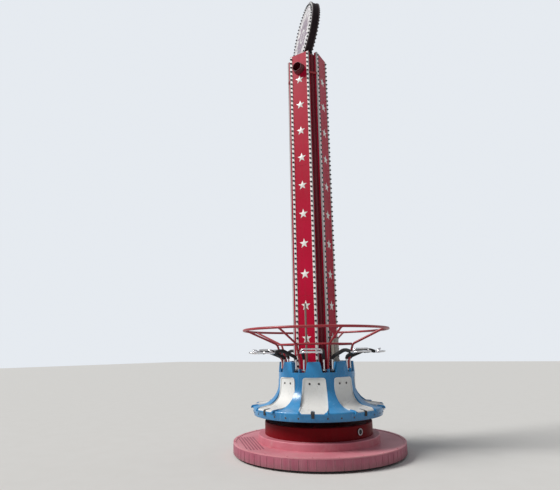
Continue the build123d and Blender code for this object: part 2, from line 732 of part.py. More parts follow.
def carriage_posts():
    """Four uprights between the frames, with cheeks for the rollers' axles."""
    length = CARRIAGE_HIGH - CARRIAGE_LOW - CARRIAGE_TUBE
    middle = CARRIAGE_LOW + CARRIAGE_TUBE + length / 2
    post = Pos(post_reach(), 0, middle) * Box(CARRIAGE_TUBE, CARRIAGE_TUBE, length)
    offset = (ROLLER_WIDTH + ROLLER_CHEEK) / 2 + ROLLER_GAP
    for place in roller_places():
        axle = place.position.X
        span = post_reach() - axle
        for side in (-1, 1):
            cheek = Box(span, ROLLER_CHEEK, 2 * ROLLER_AXLE)
            cheek = Pos(axle + span / 2, side * offset, place.position.Z) * cheek
            nose = place * Pos(0, side * offset, 0) * Rot(90, 0, 0) * Cylinder(ROLLER_AXLE, ROLLER_CHEEK)
            post += cheek + nose
        post -= place * Rot(90, 0, 0) * Cylinder(ROLLER_AXLE / 2 + PIN_GAP, 3 * ROLLER_WIDTH)
    return ring_of([post], CORNER_ANGLES)


def guide_rollers():
    """Grooved rollers that run on the corner angles, each with its axle."""
    rim = ROLLER_DIAMETER / 2
    half = ROLLER_WIDTH / 2
    outline = Polyline(
        (0, -half),
        (rim, -half),
        (rim, -ROLLER_GROOVE),
        (rim - ROLLER_GROOVE, 0),
        (rim, ROLLER_GROOVE),
        (rim, half),
        (0, half),
        close=True,
    )
    wheel = revolve(make_face(Plane.XZ * outline), Axis.Z)
    wheel += Cylinder(ROLLER_AXLE / 2, ROLLER_WIDTH + 2 * (ROLLER_GAP + ROLLER_CHEEK))
    rollers = [place * Rot(90, 0, 0) * wheel for place in roller_places()]
    return ring_of(rollers, CORNER_ANGLES)


# Crown

def crown_top_ring():
    """Round tube of the crown's upper edge."""
    return Pos(0, 0, CROWN_TOP_HEIGHT) * Torus(CROWN_TOP_RADIUS, CROWN_RING_TUBE / 2)


def crown_low_ring():
    """Eight straight tubes joined corner to corner on the struts."""
    radius = CROWN_LOW_RADIUS - CROWN_SADDLE
    corners = [Pos(0, 0, CROWN_LOW_HEIGHT) * turned(Pos(radius, 0, 0) * Vertex(0, 0, 0), a) for a in SPOKE_ANGLES]
    points = [c.center() for c in corners]
    side = 2 * radius * math.sin(math.radians(PITCH / 2))
    inradius = radius * math.cos(math.radians(PITCH / 2))
    ring = None
    for angle in SEAT_ANGLES:
        rod = Rot(90, 0, 0) * Cylinder(CROWN_TUBE / 2, side)
        rod = turned(Pos(inradius, 0, CROWN_LOW_HEIGHT) * rod, angle)
        ring = rod if ring is None else ring + rod
    for point in points:
        ring = ring + Pos(point) * Sphere(CROWN_TUBE / 2)
    return ring


def crown_strut():
    """Bent tube from the shell's joint up the notch and out to the top ring."""
    foot = SHELL_SHOULDER_HEIGHT + JOINT_FLANGE_HEIGHT + SEATING_GAP
    line = FilletPolyline(
        (STRUT_FOOT_RADIUS, 0, foot),
        (STRUT_FOOT_RADIUS, 0, foot + STRUT_STRAIGHT),
        (CROWN_LOW_RADIUS, 0, CROWN_LOW_HEIGHT),
        (CROWN_TOP_RADIUS, 0, CROWN_TOP_HEIGHT),
        radius=[90, 90],
    )
    return tube(line, CROWN_TUBE)


def control_box():
    """Box on the carriage, in front of the mast's right face."""
    middle = CARRIAGE_INNER_HALF + BOX_DEPTH / 2
    low = CARRIAGE_HIGH + CARRIAGE_TUBE
    box = Box(BOX_DEPTH, BOX_WIDTH, BOX_TOP - low)
    box = fillet(box.edges().filter_by(Axis.Z), 8)
    return turned(Pos(middle, BOX_SIDE, (BOX_TOP + low) / 2) * box, FACE_ANGLES["right"])


def limit_rod():
    """Upright rod on a foot plate, held out far enough to rise past the panel's collar."""
    radius = ROD_DIAMETER / 2
    foot = CARRIAGE_HIGH + CARRIAGE_TUBE
    reach = PANEL_REACH + SEATING_GAP + COLLAR_LENGTH + ROD_CLEARANCE + radius
    rod = Pos(0, 0, (ROD_TOP + foot) / 2) * Cylinder(radius, ROD_TOP - foot)
    depth = reach + radius - CARRIAGE_INNER_HALF
    plate = Box(ROD_FOOT_WIDTH, depth, ROD_FOOT_THICKNESS)
    rod += Pos(0, depth / 2 - radius, foot + ROD_FOOT_THICKNESS / 2) * plate
    return Pos(ROD_SIDE, -reach, 0) * rod


def main():
    save("base_plinth", plinth())
    save("platform", platform())
    save("deck", deck())
    save("step", step())
    save("drive_drum", drum())
    save("drum_port", drum_port())
    save("slew_ring", slew_ring())

    save("turntable", turntable())
    save("mast", mast())
    for side, angle in FACE_ANGLES.items():
        save(f"light_panel_{side}", turned(light_panel(side == "front"), angle))
    save("panel_collar", turned(panel_collar(), FACE_ANGLES["front"]))
    save("panel_spacers", panel_spacers())
    save("guide_rails", guide_rails())
    save("corner_ties", corner_ties())
    save("head_plate", head_plate())
    save("disc_sign", disc_body())
    save("disc_trims", disc_trims())
    save("disc_feet", disc_feet())

    sector = shell_sector()
    bar = restraint_bar()
    pads = restraint_pads()
    for number, angle in enumerate(SEAT_ANGLES, start=1):
        save(f"shell_{number}", turned(sector, angle))
        save(f"restraint_bar_{number}", turned(bar, angle))
        save(f"restraint_pads_{number}", ring_of(pads, [angle]))
    save("seat_inserts", ring_of([seat_insert()], SEAT_ANGLES))
    save("crotch_straps", ring_of([crotch_strap()], SEAT_ANGLES))
    save("hinge_brackets", ring_of(hinge_brackets(), SEAT_ANGLES))

    save("carriage_low_frame", carriage_frame(CARRIAGE_LOW, rim_wall_reach()))
    save("carriage_high_frame", carriage_frame(CARRIAGE_HIGH, back_wall_reach()))
    save("carriage_posts", carriage_posts())
    save("guide_rollers", guide_rollers())
    top_ring = crown_top_ring()
    low_ring = crown_low_ring()
    strut = crown_strut()
    struts = [turned(strut, a) - top_ring - low_ring for a in SPOKE_ANGLES]
    save("crown_top_ring", top_ring)
    save("crown_low_ring", low_ring)
    save("crown_struts", struts)
    save("control_box", control_box())
    save("limit_rod", limit_rod())


main()
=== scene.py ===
# %% [markdown]
# # A rotating tower ride
# The real machine is a round gondola with eight outward seats. It climbs and
# turns on a square mast that is dressed with red light panels. The CAD model
# already holds every load-bearing piece, so this lesson adds the finishes and
# the small pieces: lamps, stars, bolts, weld beads, foam pads and fittings.
# Everything is in metres, with +Z up and the front light panel facing -Y.

import json
import math
import random

import bmesh
import bpy
from mathutils import Matrix, Vector


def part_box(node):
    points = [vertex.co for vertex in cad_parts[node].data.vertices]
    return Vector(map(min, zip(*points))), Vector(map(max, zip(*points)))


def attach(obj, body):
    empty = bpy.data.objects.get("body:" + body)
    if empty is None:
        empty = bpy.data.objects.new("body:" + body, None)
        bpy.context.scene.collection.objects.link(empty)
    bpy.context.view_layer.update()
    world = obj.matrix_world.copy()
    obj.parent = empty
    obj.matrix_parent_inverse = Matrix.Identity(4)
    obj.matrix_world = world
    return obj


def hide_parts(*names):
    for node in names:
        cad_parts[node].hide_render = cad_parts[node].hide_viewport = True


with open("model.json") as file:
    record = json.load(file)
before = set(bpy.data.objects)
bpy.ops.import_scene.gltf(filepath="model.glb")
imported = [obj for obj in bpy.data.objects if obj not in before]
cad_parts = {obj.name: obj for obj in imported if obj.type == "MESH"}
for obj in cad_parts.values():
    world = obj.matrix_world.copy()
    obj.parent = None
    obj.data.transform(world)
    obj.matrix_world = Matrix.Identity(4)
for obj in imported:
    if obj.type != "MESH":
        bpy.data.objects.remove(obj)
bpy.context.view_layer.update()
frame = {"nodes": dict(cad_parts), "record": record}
nodes = frame["nodes"]

# %% [markdown]
# ## Sums on shader sockets
# A material can be drawn as a page of wired nodes, or written as sums. Sums are
# shorter and can be read aloud, so one small class wraps a socket and turns
# Python's operators into Math nodes. Its method node() adds every other kind.

# %% A socket that can be added, multiplied and compared
class Wire:
    """One output of a shader node."""

    def __init__(self, tree, socket):
        self.tree = tree
        self.socket = socket

    def node(self, kind, settings, sockets, output=0):
        """Add a node: its settings first, then its sockets' values or links."""
        made = self.tree.nodes.new(kind)
        for name, value in settings.items():
            setattr(made, name, value)
        for name, value in sockets.items():
            if isinstance(value, Wire):
                self.tree.links.new(value.socket, made.inputs[name])
            else:
                made.inputs[name].default_value = value
        return Wire(self.tree, made.outputs[output])

    def math(self, operation, first, second=0.0, clamp=False):
        settings = {"operation": operation, "use_clamp": clamp}
        return self.node("ShaderNodeMath", settings, {0: first, 1: second})

    def __add__(self, other):
        return self.math("ADD", self, other)

    def __sub__(self, other):
        return self.math("SUBTRACT", self, other)

    def __rsub__(self, other):
        return self.math("SUBTRACT", other, self)

    def __mul__(self, other):
        return self.math("MULTIPLY", self, other)

    def __truediv__(self, other):
        return self.math("DIVIDE", self, other)

    def __gt__(self, other):
        return self.math("GREATER_THAN", self, other)

    def __lt__(self, other):
        return self.math("LESS_THAN", self, other)

    __radd__ = __add__
    __rmul__ = __mul__

    def between(self, low, high):
        """0 at low, 1 at high, straight in between and held outside."""
        return self.math("MULTIPLY", self - low, 1 / (high - low), clamp=True)

    def held(self):
        """The value kept between 0 and 1."""
        return self.math("ADD", self, 0.0, clamp=True)

    def size(self):
        """The value without its sign."""
        return self.math("ABSOLUTE", self)

    def wave(self, period):
        """0 at each multiple of the period and 1 half-way between."""
        return self.math("PINGPONG", self, period / 2) / (period / 2)


# %% [markdown]
# ## Patterns that every finish shares
# Paint outdoors changes in the same few ways. It fades in clouds, rain draws
# streaks down it, dust lies on what faces up, and edges chip. Each of these is
# one small function of the place on the piece, so finishes can share them.

# %% Clouds, grain and streaks
def noise(place, scale, detail=3.0, stretch=(1, 1, 1), roughness=0.5):
    """Clouds from 0 to 1 at a number of lumps per metre."""
    drawn = place.node("ShaderNodeMapping", {}, {"Vector": place, "Scale": stretch})
    sockets = {"Vector": drawn, "Scale": scale, "Detail": detail, "Roughness": roughness}
    return place.node("ShaderNodeTexNoise", {}, sockets)


def grain(place, scale, stretch=(1, 1, 1)):
    """Fine mottling from 0 to 1."""
    return noise(place, scale, 3.0, stretch).between(0.3, 0.7)


def rain_streaks(place, scale, squash=0.08, low=0.5, high=0.8):
    """Upright streaks, drawn out by squashing the noise along Z."""
    return noise(place, scale, 3.0, (1, 1, squash)).between(low, high)


def cells(place, scale):
    """Distance to scattered points, for grit, pits and pebble."""
    return place.node("ShaderNodeTexVoronoi", {}, {"Vector": place, "Scale": scale})


# %% Where a point is, and which way it faces
def coordinate(place, axis):
    """One coordinate of a place or a direction: X, Y or Z."""
    return place.node("ShaderNodeSeparateXYZ", {}, {0: place}, "XYZ".index(axis))


def from_axis(place):
    """Distance from the ride's upright axis."""
    x = coordinate(place, "X")
    y = coordinate(place, "Y")
    return place.math("SQRT", x * x + y * y)


def round_axis(place):
    """Angle round the ride's upright axis, in radians."""
    return place.math("ARCTAN2", coordinate(place, "Y"), coordinate(place, "X"))


def edge_mask(place, width):
    """1 on edges and 0 on flats, from the change of a rounded normal."""
    soft = place.node("ShaderNodeBevel", {"samples": 6}, {"Radius": width})
    sharp = place.node("ShaderNodeNewGeometry", {}, {}, 1)
    product = {"operation": "DOT_PRODUCT"}
    together = place.node("ShaderNodeVectorMath", product, {0: soft, 1: sharp}, 1)
    return (1 - together).between(0.02, 0.2)


def facing_up(place):
    """1 on what faces up."""
    normal = place.node("ShaderNodeNewGeometry", {}, {}, 1)
    return coordinate(normal, "Z").between(0.35, 0.95)


# %% Mix colours, start a material and end it
def rgba(colour):
    return (*colour, 1.0)


def blended(share, first, second):
    """The first colour where the share is 0, the second where it is 1."""
    # The Mix node's two colours are its sockets 6 and 7, and its mixed colour is output 2.
    sockets = {0: share}
    for index, colour in ((6, first), (7, second)):
        sockets[index] = colour if isinstance(colour, Wire) else rgba(colour)
    return share.node("ShaderNodeMix", {"data_type": "RGBA"}, sockets, 2)


def shader_input(material, key):
    """The shader's socket for a plain word: coat_weight is Coat Weight."""
    label = key.replace("_", " ").title().replace("Ior", "IOR")
    return material.node_tree.nodes["Principled BSDF"].inputs[label]


def begin(name, **fixed):
    """A new material with uniform values on its shader; returns it and its place."""
    material = bpy.data.materials.new(name)
    material.use_nodes = True
    for key, value in fixed.items():
        shader_input(material, key).default_value = value
    tree = material.node_tree
    return material, Wire(tree, tree.nodes.new("ShaderNodeTexCoord").outputs["Object"])


def link(material, **wired):
    """Link what changes over the surface to the shader."""
    for key, value in wired.items():
        material.node_tree.links.new(value.socket, shader_input(material, key))
    return material


def end(material, shade, rough, height, depth, strength=1.0, **wired):
    """Link a colour, a roughness and a bump that is a depth in metres high."""
    sockets = {"Height": height, "Distance": depth, "Strength": strength}
    normal = height.node("ShaderNodeBump", {}, sockets)
    return link(material, base_color=shade, roughness=rough.held(), normal=normal, **wired)


# %% [markdown]
# ## Painted steel
# Most of the ride is painted plate and tube. One function paints it: a colour,
# the colour it fades to, the dirt that lies on it, and what shows where it
# chips. Separate materials could be drawn by hand, but a ride is painted from
# a few tins, and the wear is what differs.

# %% The paint function
RAIN_DIRT = (0.13, 0.11, 0.1)
PALE_DUST = (0.36, 0.33, 0.3)


def painted(
    name, colour, faded, matt=0.3, grime=0.35, chips=0.5, lumps=3.0,
    under=(0.16, 0.1, 0.08), coat=0.25, **fixed,
):
    """Painted metal with clouds of fading, rain streaks, dust and chipped edges."""
    material, place = begin(name, coat_weight=coat, coat_roughness=0.2, **fixed)
    cloud = noise(place, lumps, 4.0).between(0.35, 0.68)
    fine = grain(place, lumps * 9)
    streak = rain_streaks(place, 14.0, 0.07, 0.48, 0.78)
    shade = blended(cloud * 0.75 + fine * 0.25, colour, faded)
    shade = blended(streak * grime * 0.55, shade, RAIN_DIRT)
    dust = facing_up(place) * (fine * 0.5 + 0.35) * grime
    shade = blended(dust, shade, PALE_DUST)
    broken = noise(place, 60.0, 2.0).between(0.42, 0.6)
    chipped = edge_mask(place, 0.004) * broken * chips
    shade = blended(chipped, shade, under)
    rough = matt + fine * 0.1 + cloud * 0.08 + dust * 0.3 + streak * grime * 0.15 + chipped * 0.25
    peel = noise(place, 160.0, 2.0) * 0.6 + fine * 0.4 - chipped * 0.5
    return end(material, shade, rough, peel, 0.0006)


# %% The tins of paint
finishes = {
    "black_base": painted(
        "black_base_paint", (0.03, 0.03, 0.033), (0.07, 0.065, 0.06),
        matt=0.55, grime=0.7, chips=0.6, coat=0.0,
    ),
    "dark_red_drum": painted(
        "drum_red_paint", (0.15, 0.0006, 0.003), (0.18, 0.002, 0.006),
        matt=0.4, grime=0.08, chips=0.4, coat=0.0, specular_ior_level=0.1,
    ),
    "mast_steel": painted(
        "mast_dark_red_paint", (0.15, 0.004, 0.016), (0.19, 0.012, 0.026),
        matt=0.38, grime=0.3, chips=0.4, coat=0.1,
    ),
    "collar_red": painted(
        "collar_dark_red_paint", (0.09, 0.003, 0.01), (0.14, 0.012, 0.022),
        matt=0.4, grime=0.3, coat=0.05,
    ),
    "silver_trim": painted(
        "silver_paint", (0.5, 0.5, 0.52), (0.42, 0.42, 0.44), matt=0.35, metallic=0.35,
    ),
    "disc_rim": painted(
        "disc_rim_paint", (0.02, 0.011, 0.013), (0.05, 0.025, 0.03), matt=0.4, coat=0.05,
    ),
    "bracket_black": painted(
        "bracket_black_paint", (0.02, 0.02, 0.022), (0.05, 0.048, 0.045),
        matt=0.42, grime=0.5, chips=0.9, lumps=8.0, under=(0.3, 0.29, 0.28),
    ),
    "frame_grey": painted(
        "carriage_grey_paint", (0.06, 0.062, 0.07), (0.1, 0.1, 0.1),
        matt=0.45, grime=0.5, chips=0.7,
    ),
    "crown_red": painted(
        "crown_red_paint", (0.3, 0.004, 0.016), (0.37, 0.018, 0.03),
        matt=0.26, grime=0.24, chips=0.6, lumps=6.0, coat=0.15,
    ),
    "box_beige": painted(
        "box_beige_paint", (0.33, 0.3, 0.25), (0.42, 0.39, 0.33),
        matt=0.4, grime=0.45, chips=0.6, lumps=5.0,
    ),
    "rod_grey": painted(
        "rod_tan_paint", (0.2, 0.135, 0.115), (0.26, 0.19, 0.165),
        matt=0.42, grime=0.3, chips=0.6, lumps=6.0, coat=0.0,
    ),
}
print("painted finishes", len(finishes))

# %% [markdown]
# ## The platform's skirt and deck
# Sun and rain have turned the platform's red into a dusty pink. The skirt is
# sheet with deep upright grooves and fine ridges between them. Colour runs down
# it, and the grooves are painted lighter: painted light that cancels their own
# shade. The deck is trodden, so its paint is palest where shoes turn, out
# towards the rim.

# %% Skirt and deck finishes
SKIRT_RADIUS = round(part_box("platform")[1].x, 4)
GROOVE_START = 0.0012
SKIRT_RIDGES = 288
SPLASH_HEIGHT = 0.12
DECK_WORN = (1.0, 1.4)


def skirt_finish():
    material, place = begin("faded_skirt_paint", coat_weight=0.1, coat_roughness=0.35)
    cloud = noise(place, 2.2, 4.0).between(0.36, 0.66)
    fine = grain(place, 28.0)
    streak = rain_streaks(place, 16.0, 0.08, 0.42, 0.75)
    shade = blended(cloud, (0.3, 0.055, 0.1), (0.4, 0.1, 0.15))
    shade = blended(streak * 0.45, shade, (0.46, 0.19, 0.23))
    # Painted light: the paint is lighter inside the grooves, to cancel the shade the grooves cast in
    # themselves.
    groove_painted_light = (SKIRT_RADIUS - GROOVE_START - from_axis(place)).between(0.0, 0.002)
    shade = blended(groove_painted_light, shade, (0.52, 0.21, 0.26))
    splash = (SPLASH_HEIGHT - coordinate(place, "Z")).between(0.0, 0.085)
    shade = blended(splash * (fine * 0.6 + 0.3) * 0.7, shade, (0.15, 0.09, 0.085))
    chipped = edge_mask(place, 0.004) * fine * 0.15
    shade = blended(chipped, shade, (0.22, 0.13, 0.13))
    rough = 0.42 + fine * 0.14 + streak * 0.12
    ridge = round_axis(place).wave(math.tau / SKIRT_RIDGES).between(0.1, 0.5)
    return end(material, shade, rough, ridge * 0.7 + fine * 0.2, 0.0008)


def deck_finish():
    material, place = begin("pink_deck_paint", coat_weight=0.08, coat_roughness=0.4)
    cloud = noise(place, 2.6, 5.0).between(0.34, 0.68)
    fine = grain(place, 36.0)
    scuff = noise(place, 7.0, 6.0, (1, 2.2, 1), 0.7).between(0.5, 0.72)
    shade = blended(cloud, (0.5, 0.13, 0.17), (0.62, 0.2, 0.25))
    worn = from_axis(place).between(*DECK_WORN) * (cloud * 0.5 + 0.4)
    shade = blended(worn, shade, (0.68, 0.27, 0.31))
    shade = blended(scuff * 0.5, shade, (0.6, 0.36, 0.36))
    grit = (cells(place, 130.0) < 0.2) * fine
    shade = blended(grit * 0.4, shade, (0.2, 0.13, 0.12))
    rough = 0.45 + scuff * 0.2 + fine * 0.1
    return end(material, shade, rough, fine * 0.4 + grit * 0.5 + scuff * 0.2, 0.0012)


finishes["faded_red_skirt"] = skirt_finish()
finishes["pink_deck"] = deck_finish()
print("platform finishes ready, skirt radius", SKIRT_RADIUS)

# %% [markdown]
# ## The light panels
# Each panel is a folded tray in signal red. A bright metal edging covers the
# first 26 mm of each fold, where the tray takes most knocks. One material picks
# the colour from the place: on a fold both x and y are far from the axis, and
# the larger of them tells how deep behind the face the point is.

# %% Panel finish
panel_low, panel_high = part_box("light_panel_front")
PANEL_FACE = round(-panel_low.y, 4)
PANEL_HALF = round(panel_high.x, 4)
FOLD_SKIN = 0.0018
EDGING_DEPTH = 0.026


def panel_finish():
    fixed = {"coat_weight": 0.03, "coat_roughness": 0.2, "specular_ior_level": 0.14}
    material, place = begin("panel_red_and_silver", **fixed)
    x = coordinate(place, "X").size()
    y = coordinate(place, "Y").size()
    fold = place.math("MINIMUM", x, y) > PANEL_HALF - FOLD_SKIN
    edging = fold * (place.math("MAXIMUM", x, y) > PANEL_FACE - EDGING_DEPTH)
    cloud = noise(place, 1.7, 5.0).between(0.36, 0.68)
    fine = grain(place, 24.0)
    streak = rain_streaks(place, 20.0, 0.03)
    red = blended(cloud, (0.4, 0.001, 0.024), (0.46, 0.002, 0.034))
    red = blended(streak * 0.3, red, (0.27, 0.008, 0.022))
    silver = blended(fine, (0.42, 0.42, 0.43), (0.52, 0.52, 0.53))
    silver = blended(streak * 0.5, silver, (0.2, 0.16, 0.14))
    shade = blended(edging, red, silver)
    broken = noise(place, 55.0, 2.0).between(0.45, 0.6)
    shade = blended(edge_mask(place, 0.003) * broken * 0.5, shade, (0.3, 0.26, 0.24))
    rough = 0.34 + fine * 0.08 + streak * 0.14
    ripple = noise(place, 3.2, 2.0) * 0.8 + fine * 0.04
    return end(material, shade, rough, ripple, 0.004, 0.5)


finishes["panel_red"] = panel_finish()
print("panel face", PANEL_FACE, "half width", PANEL_HALF)

# %% [markdown]
# ## Glass-fibre shell and seats
# The gondola is moulded glass-fibre: a coloured gel coat, glossy where it is
# young, chalky where the sun has had it, with hair scratches from shoes and
# buckles. A clear coat on the shader gives the gloss, and the colour below it
# carries the chalk, so the two can change apart. A seat's lower corners are
# round on the real ride and square in the solid. They could be cut from a copy
# of the mesh. Here the white gives way to the shell's blue outside a quarter of
# an ellipse, which needs only the distance to the nearest seat's middle line.

# %% Shell finish
RIM_DIRT_HEIGHT = 0.66


def shell_finish():
    material, place = begin("blue_gel_coat", coat_weight=0.2, coat_roughness=0.13)
    cloud = noise(place, 2.4, 4.0).between(0.35, 0.68)
    fine = grain(place, 30.0)
    shade = blended(cloud, (0.014, 0.2, 0.46), (0.026, 0.265, 0.56))
    chalk = facing_up(place) * (cloud * 0.5 + 0.25)
    shade = blended(chalk, shade, (0.07, 0.3, 0.58))
    streak = rain_streaks(place, 18.0, 0.1, 0.52)
    shade = blended(streak * 0.28, shade, (0.05, 0.13, 0.26))
    hair = noise(place, 9.0, 2.0, (7.0, 0.8, 1.0)).between(0.62, 0.64)
    hair = hair * noise(place, 3.0).between(0.5, 0.6)
    shade = blended(hair * 0.35, shade, (0.3, 0.48, 0.68))
    rim_dirt = (RIM_DIRT_HEIGHT - coordinate(place, "Z")).between(0.0, 0.06)
    shade = blended(rim_dirt * (fine * 0.5 + 0.3) * 0.6, shade, (0.06, 0.09, 0.13))
    broken = noise(place, 70.0, 2.0).between(0.5, 0.62)
    chipped = edge_mask(place, 0.005) * broken * 0.6
    shade = blended(chipped, shade, (0.42, 0.5, 0.56))
    rough = 0.24 + cloud * 0.07 + chalk * 0.2 + streak * 0.15 + hair * 0.2
    height = noise(place, 4.5, 2.0) * 0.8 + fine * 0.03 - chipped * 0.2
    return end(material, shade, rough, height, 0.004, 0.6)


# %% Seat finish
SEATS = 8
SEAT_HALF = 0.221
SEAT_END = 1.092
SEAT_CORNER_SIDE = 0.06
SEAT_CORNER_OUT = 0.16
SEAT_WORN_HEIGHT = 0.95


def beyond_seat_corner(place):
    """1 outside the rounded lower corners of the nearest seat."""
    radius = from_axis(place)
    angle = (1 - round_axis(place).wave(math.tau / SEATS)) * (math.pi / SEATS)
    side = radius * place.math("SINE", angle) - (SEAT_HALF - SEAT_CORNER_SIDE)
    out = radius * place.math("COSINE", angle) - (SEAT_END - SEAT_CORNER_OUT)
    side = place.math("MAXIMUM", side / SEAT_CORNER_SIDE, 0.0)
    out = place.math("MAXIMUM", out / SEAT_CORNER_OUT, 0.0)
    return (side * side + out * out) > 1.0


def seat_finish():
    material, place = begin("white_gel_coat", coat_weight=0.3, coat_roughness=0.14)
    cloud = noise(place, 3.0, 4.0).between(0.35, 0.68)
    fine = grain(place, 40.0)
    shade = blended(cloud, (0.76, 0.755, 0.73), (0.83, 0.825, 0.805))
    scuff = noise(place, 6.0, 4.0, (2.0, 2.0, 0.6), 0.6).between(0.56, 0.8)
    shade = blended(scuff * 0.35, shade, (0.58, 0.56, 0.52))
    worn = (SEAT_WORN_HEIGHT - coordinate(place, "Z")).between(0.0, 0.18)
    worn = worn * (cloud * 0.6 + 0.2) * 0.5
    shade = blended(worn, shade, (0.6, 0.58, 0.53))
    hair = noise(place, 11.0, 2.0, (6.0, 0.9, 1.5)).between(0.62, 0.64)
    hair = hair * noise(place, 4.0).between(0.48, 0.6)
    shade = blended(hair * 0.4, shade, (0.42, 0.41, 0.39))
    shade = blended(edge_mask(place, 0.005) * fine * 0.2, shade, (0.55, 0.53, 0.49))
    blue = blended(cloud, (0.018, 0.21, 0.47), (0.03, 0.27, 0.56))
    shade = blended(beyond_seat_corner(place), shade, blue)
    rough = 0.28 + scuff * 0.22 + fine * 0.08 + worn * 0.12
    height = fine * 0.03 + scuff * 0.12 + noise(place, 5.0, 2.0) * 0.6
    return end(material, shade, rough, height, 0.002, 0.5)


finishes["shell_blue"] = shell_finish()
finishes["seat_white"] = seat_finish()
print("gel coats ready, seats", SEATS)

# %% [markdown]
# ## Chrome, bare steel, rubber and foam
# The bars are polished tube, dulled where hands slide. Pads are black foam with
# a dipped skin: nearly no colour, so all their life is in roughness and in the
# fine pebble of the skin. The straps are woven, and their ribs are a bump.

# %% Bar, bearing, rubber and strap finishes
def metal_finish(name, colour, tarnish, matt, haze):
    """Bare metal with hazy hand marks and tiny pits."""
    material, place = begin(name, metallic=1.0)
    cloud = noise(place, 7.0, 4.0).between(0.35, 0.68)
    fine = grain(place, 60.0, (1, 1, 0.3))
    pits = (cells(place, 210.0) < 0.16) * noise(place, 12.0).between(0.48, 0.62)
    shade = blended(cloud * 0.6, colour, tarnish)
    shade = blended(pits * 0.7, shade, (0.16, 0.1, 0.07))
    rough = matt + cloud * haze + fine * 0.06 + pits * 0.35
    return end(material, shade, rough, fine * 0.15 - pits * 0.4, 0.0004)


def rubber_finish(name, colour, dusty, pebbles, matt=0.55):
    """Soft black skin with a fine pebble and dust on its upper side."""
    material, place = begin(name, specular_ior_level=0.25)
    cloud = noise(place, 9.0, 4.0).between(0.36, 0.68)
    pebble = cells(place, pebbles).between(0.0, 0.6)
    shade = blended(cloud, colour, dusty)
    shade = blended(facing_up(place) * cloud * 0.25, shade, (0.12, 0.116, 0.112))
    rough = matt + cloud * 0.14 + pebble * 0.06
    return end(material, shade, rough, pebble, 0.0008)


def webbing_finish():
    """Woven strap: fine ribs across it and a herringbone of dark and darker."""
    material, place = begin("black_webbing")
    x = coordinate(place, "X")
    y = coordinate(place, "Y")
    rib = (coordinate(place, "Z") + (x + y) * 0.3).wave(0.0035)
    cross = (x - y).wave(0.004)
    fuzz = noise(place, 260.0, 2.0)
    shade = blended(rib * 0.6 + fuzz * 0.4, (0.012, 0.012, 0.013), (0.05, 0.05, 0.052))
    return end(material, shade, 0.72 + fuzz * 0.15, rib * 0.6 + cross * 0.4, 0.0008)


finishes["bar_chrome"] = metal_finish("polished_bar", (0.78, 0.78, 0.8), (0.6, 0.59, 0.58), 0.1, 0.14)
finishes["bearing_steel"] = metal_finish("bearing_steel", (0.2, 0.2, 0.21), (0.12, 0.11, 0.1), 0.35, 0.2)
finishes["bolt_steel"] = metal_finish("zinc_bolt", (0.5, 0.5, 0.5), (0.34, 0.32, 0.3), 0.3, 0.2)
finishes["pad_black"] = rubber_finish("foam_skin", (0.012, 0.012, 0.013), (0.03, 0.03, 0.031), 420.0)
finishes["port_black"] = rubber_finish("port_black", (0.03, 0.03, 0.033), (0.07, 0.068, 0.066), 260.0, 0.45)
finishes["strap_black"] = webbing_finish()
print("finishes", len(finishes))

# %% [markdown]
# ## Finishes on the CAD pieces
# Each CAD piece comes with a slot name and a plain material. The plain one is
# taken off and the finish of the same slot is put on. The short ties across the
# mast's corners are the exception: they are red on the ride, not silver.

# %% Dress the CAD nodes in their finishes
slot_of = {entry["node"]: entry["material_slot"] for entry in frame["record"]["subparts"]}


def dress(name, finish):
    """Give a CAD node one finish in place of its plain material."""
    materials = nodes[name].data.materials
    materials.clear()
    materials.append(finish)


for name in nodes:
    if slot_of[name] in finishes:
        dress(name, finishes[slot_of[name]])
dress("corner_ties", finishes["crown_red"])
print("dressed", sum(slot_of[name] in finishes for name in nodes))

# %% [markdown]
# ## Helpers for small pieces
# A ride carries hundreds of lamps and bolts. Each kind is modelled once and
# copied to its places, which keeps a row exactly even. The finished piece's
# object stays at the origin, so patterns on object coordinates never slide.

# %% Places
def moved(x, y, z):
    return Matrix.Translation((x, y, z))


def tipped(degrees, axis="Y"):
    return Matrix.Rotation(math.radians(degrees), 4, axis)


def around(angle, radius, height):
    """Place on the ride, with +X pointing out at an angle from the front."""
    return tipped(angle - 90, "Z") @ moved(radius, 0, height)


def even_angles(count, start=0.0):
    """Even angles round a circle, the first one a share of a step on."""
    return [360 / count * (k + start) for k in range(count)]


def turns(count, start=0.0):
    """Even turns about Z, the first one a share of a step on."""
    return [tipped(angle, "Z") for angle in even_angles(count, start)]


FACING_OUT = tipped(90)
SEAT_ANGLES = even_angles(SEATS, 0.5)
SPOKE_ANGLES = even_angles(SEATS)
print("seat angles", SEAT_ANGLES)


# %% Model, copy and finish a piece
def rounded(bm, edges, width):
    """Round edges of a bmesh."""
    bmesh.ops.bevel(
        bm, geom=edges, offset=width, segments=2, profile=0.5, affect="EDGES", material=-1
    )


def thickened(bm, faces, thickness, soft):
    """Give a flat outline its thickness and round its upper edges."""
    top = bmesh.ops.extrude_face_region(bm, geom=faces)
    lifted = [part for part in top["geom"] if isinstance(part, bmesh.types.BMVert)]
    bmesh.ops.translate(bm, vec=(0, 0, thickness), verts=lifted)
    upper = [edge for edge in bm.edges if all(v.co.z > thickness / 2 for v in edge.verts)]
    rounded(bm, upper, soft)


def full_spin(bm, geom, steps):
    """Turn a profile all the way round Z and close its seam."""
    bmesh.ops.spin(
        bm, geom=geom, cent=(0, 0, 0), axis=(0, 0, 1), angle=math.tau, steps=steps,
        use_merge=True, use_duplicate=False,
    )
    bmesh.ops.remove_doubles(bm, verts=bm.verts, dist=1e-6)


def spun(profile, steps):
    """A closed form of revolution round Z from (radius, height) points."""
    bm = bmesh.new()
    verts = [bm.verts.new((radius, 0, height)) for radius, height in profile]
    edges = [bm.edges.new(pair) for pair in zip(verts, verts[1:])]
    full_spin(bm, verts + edges, steps)
    return bm


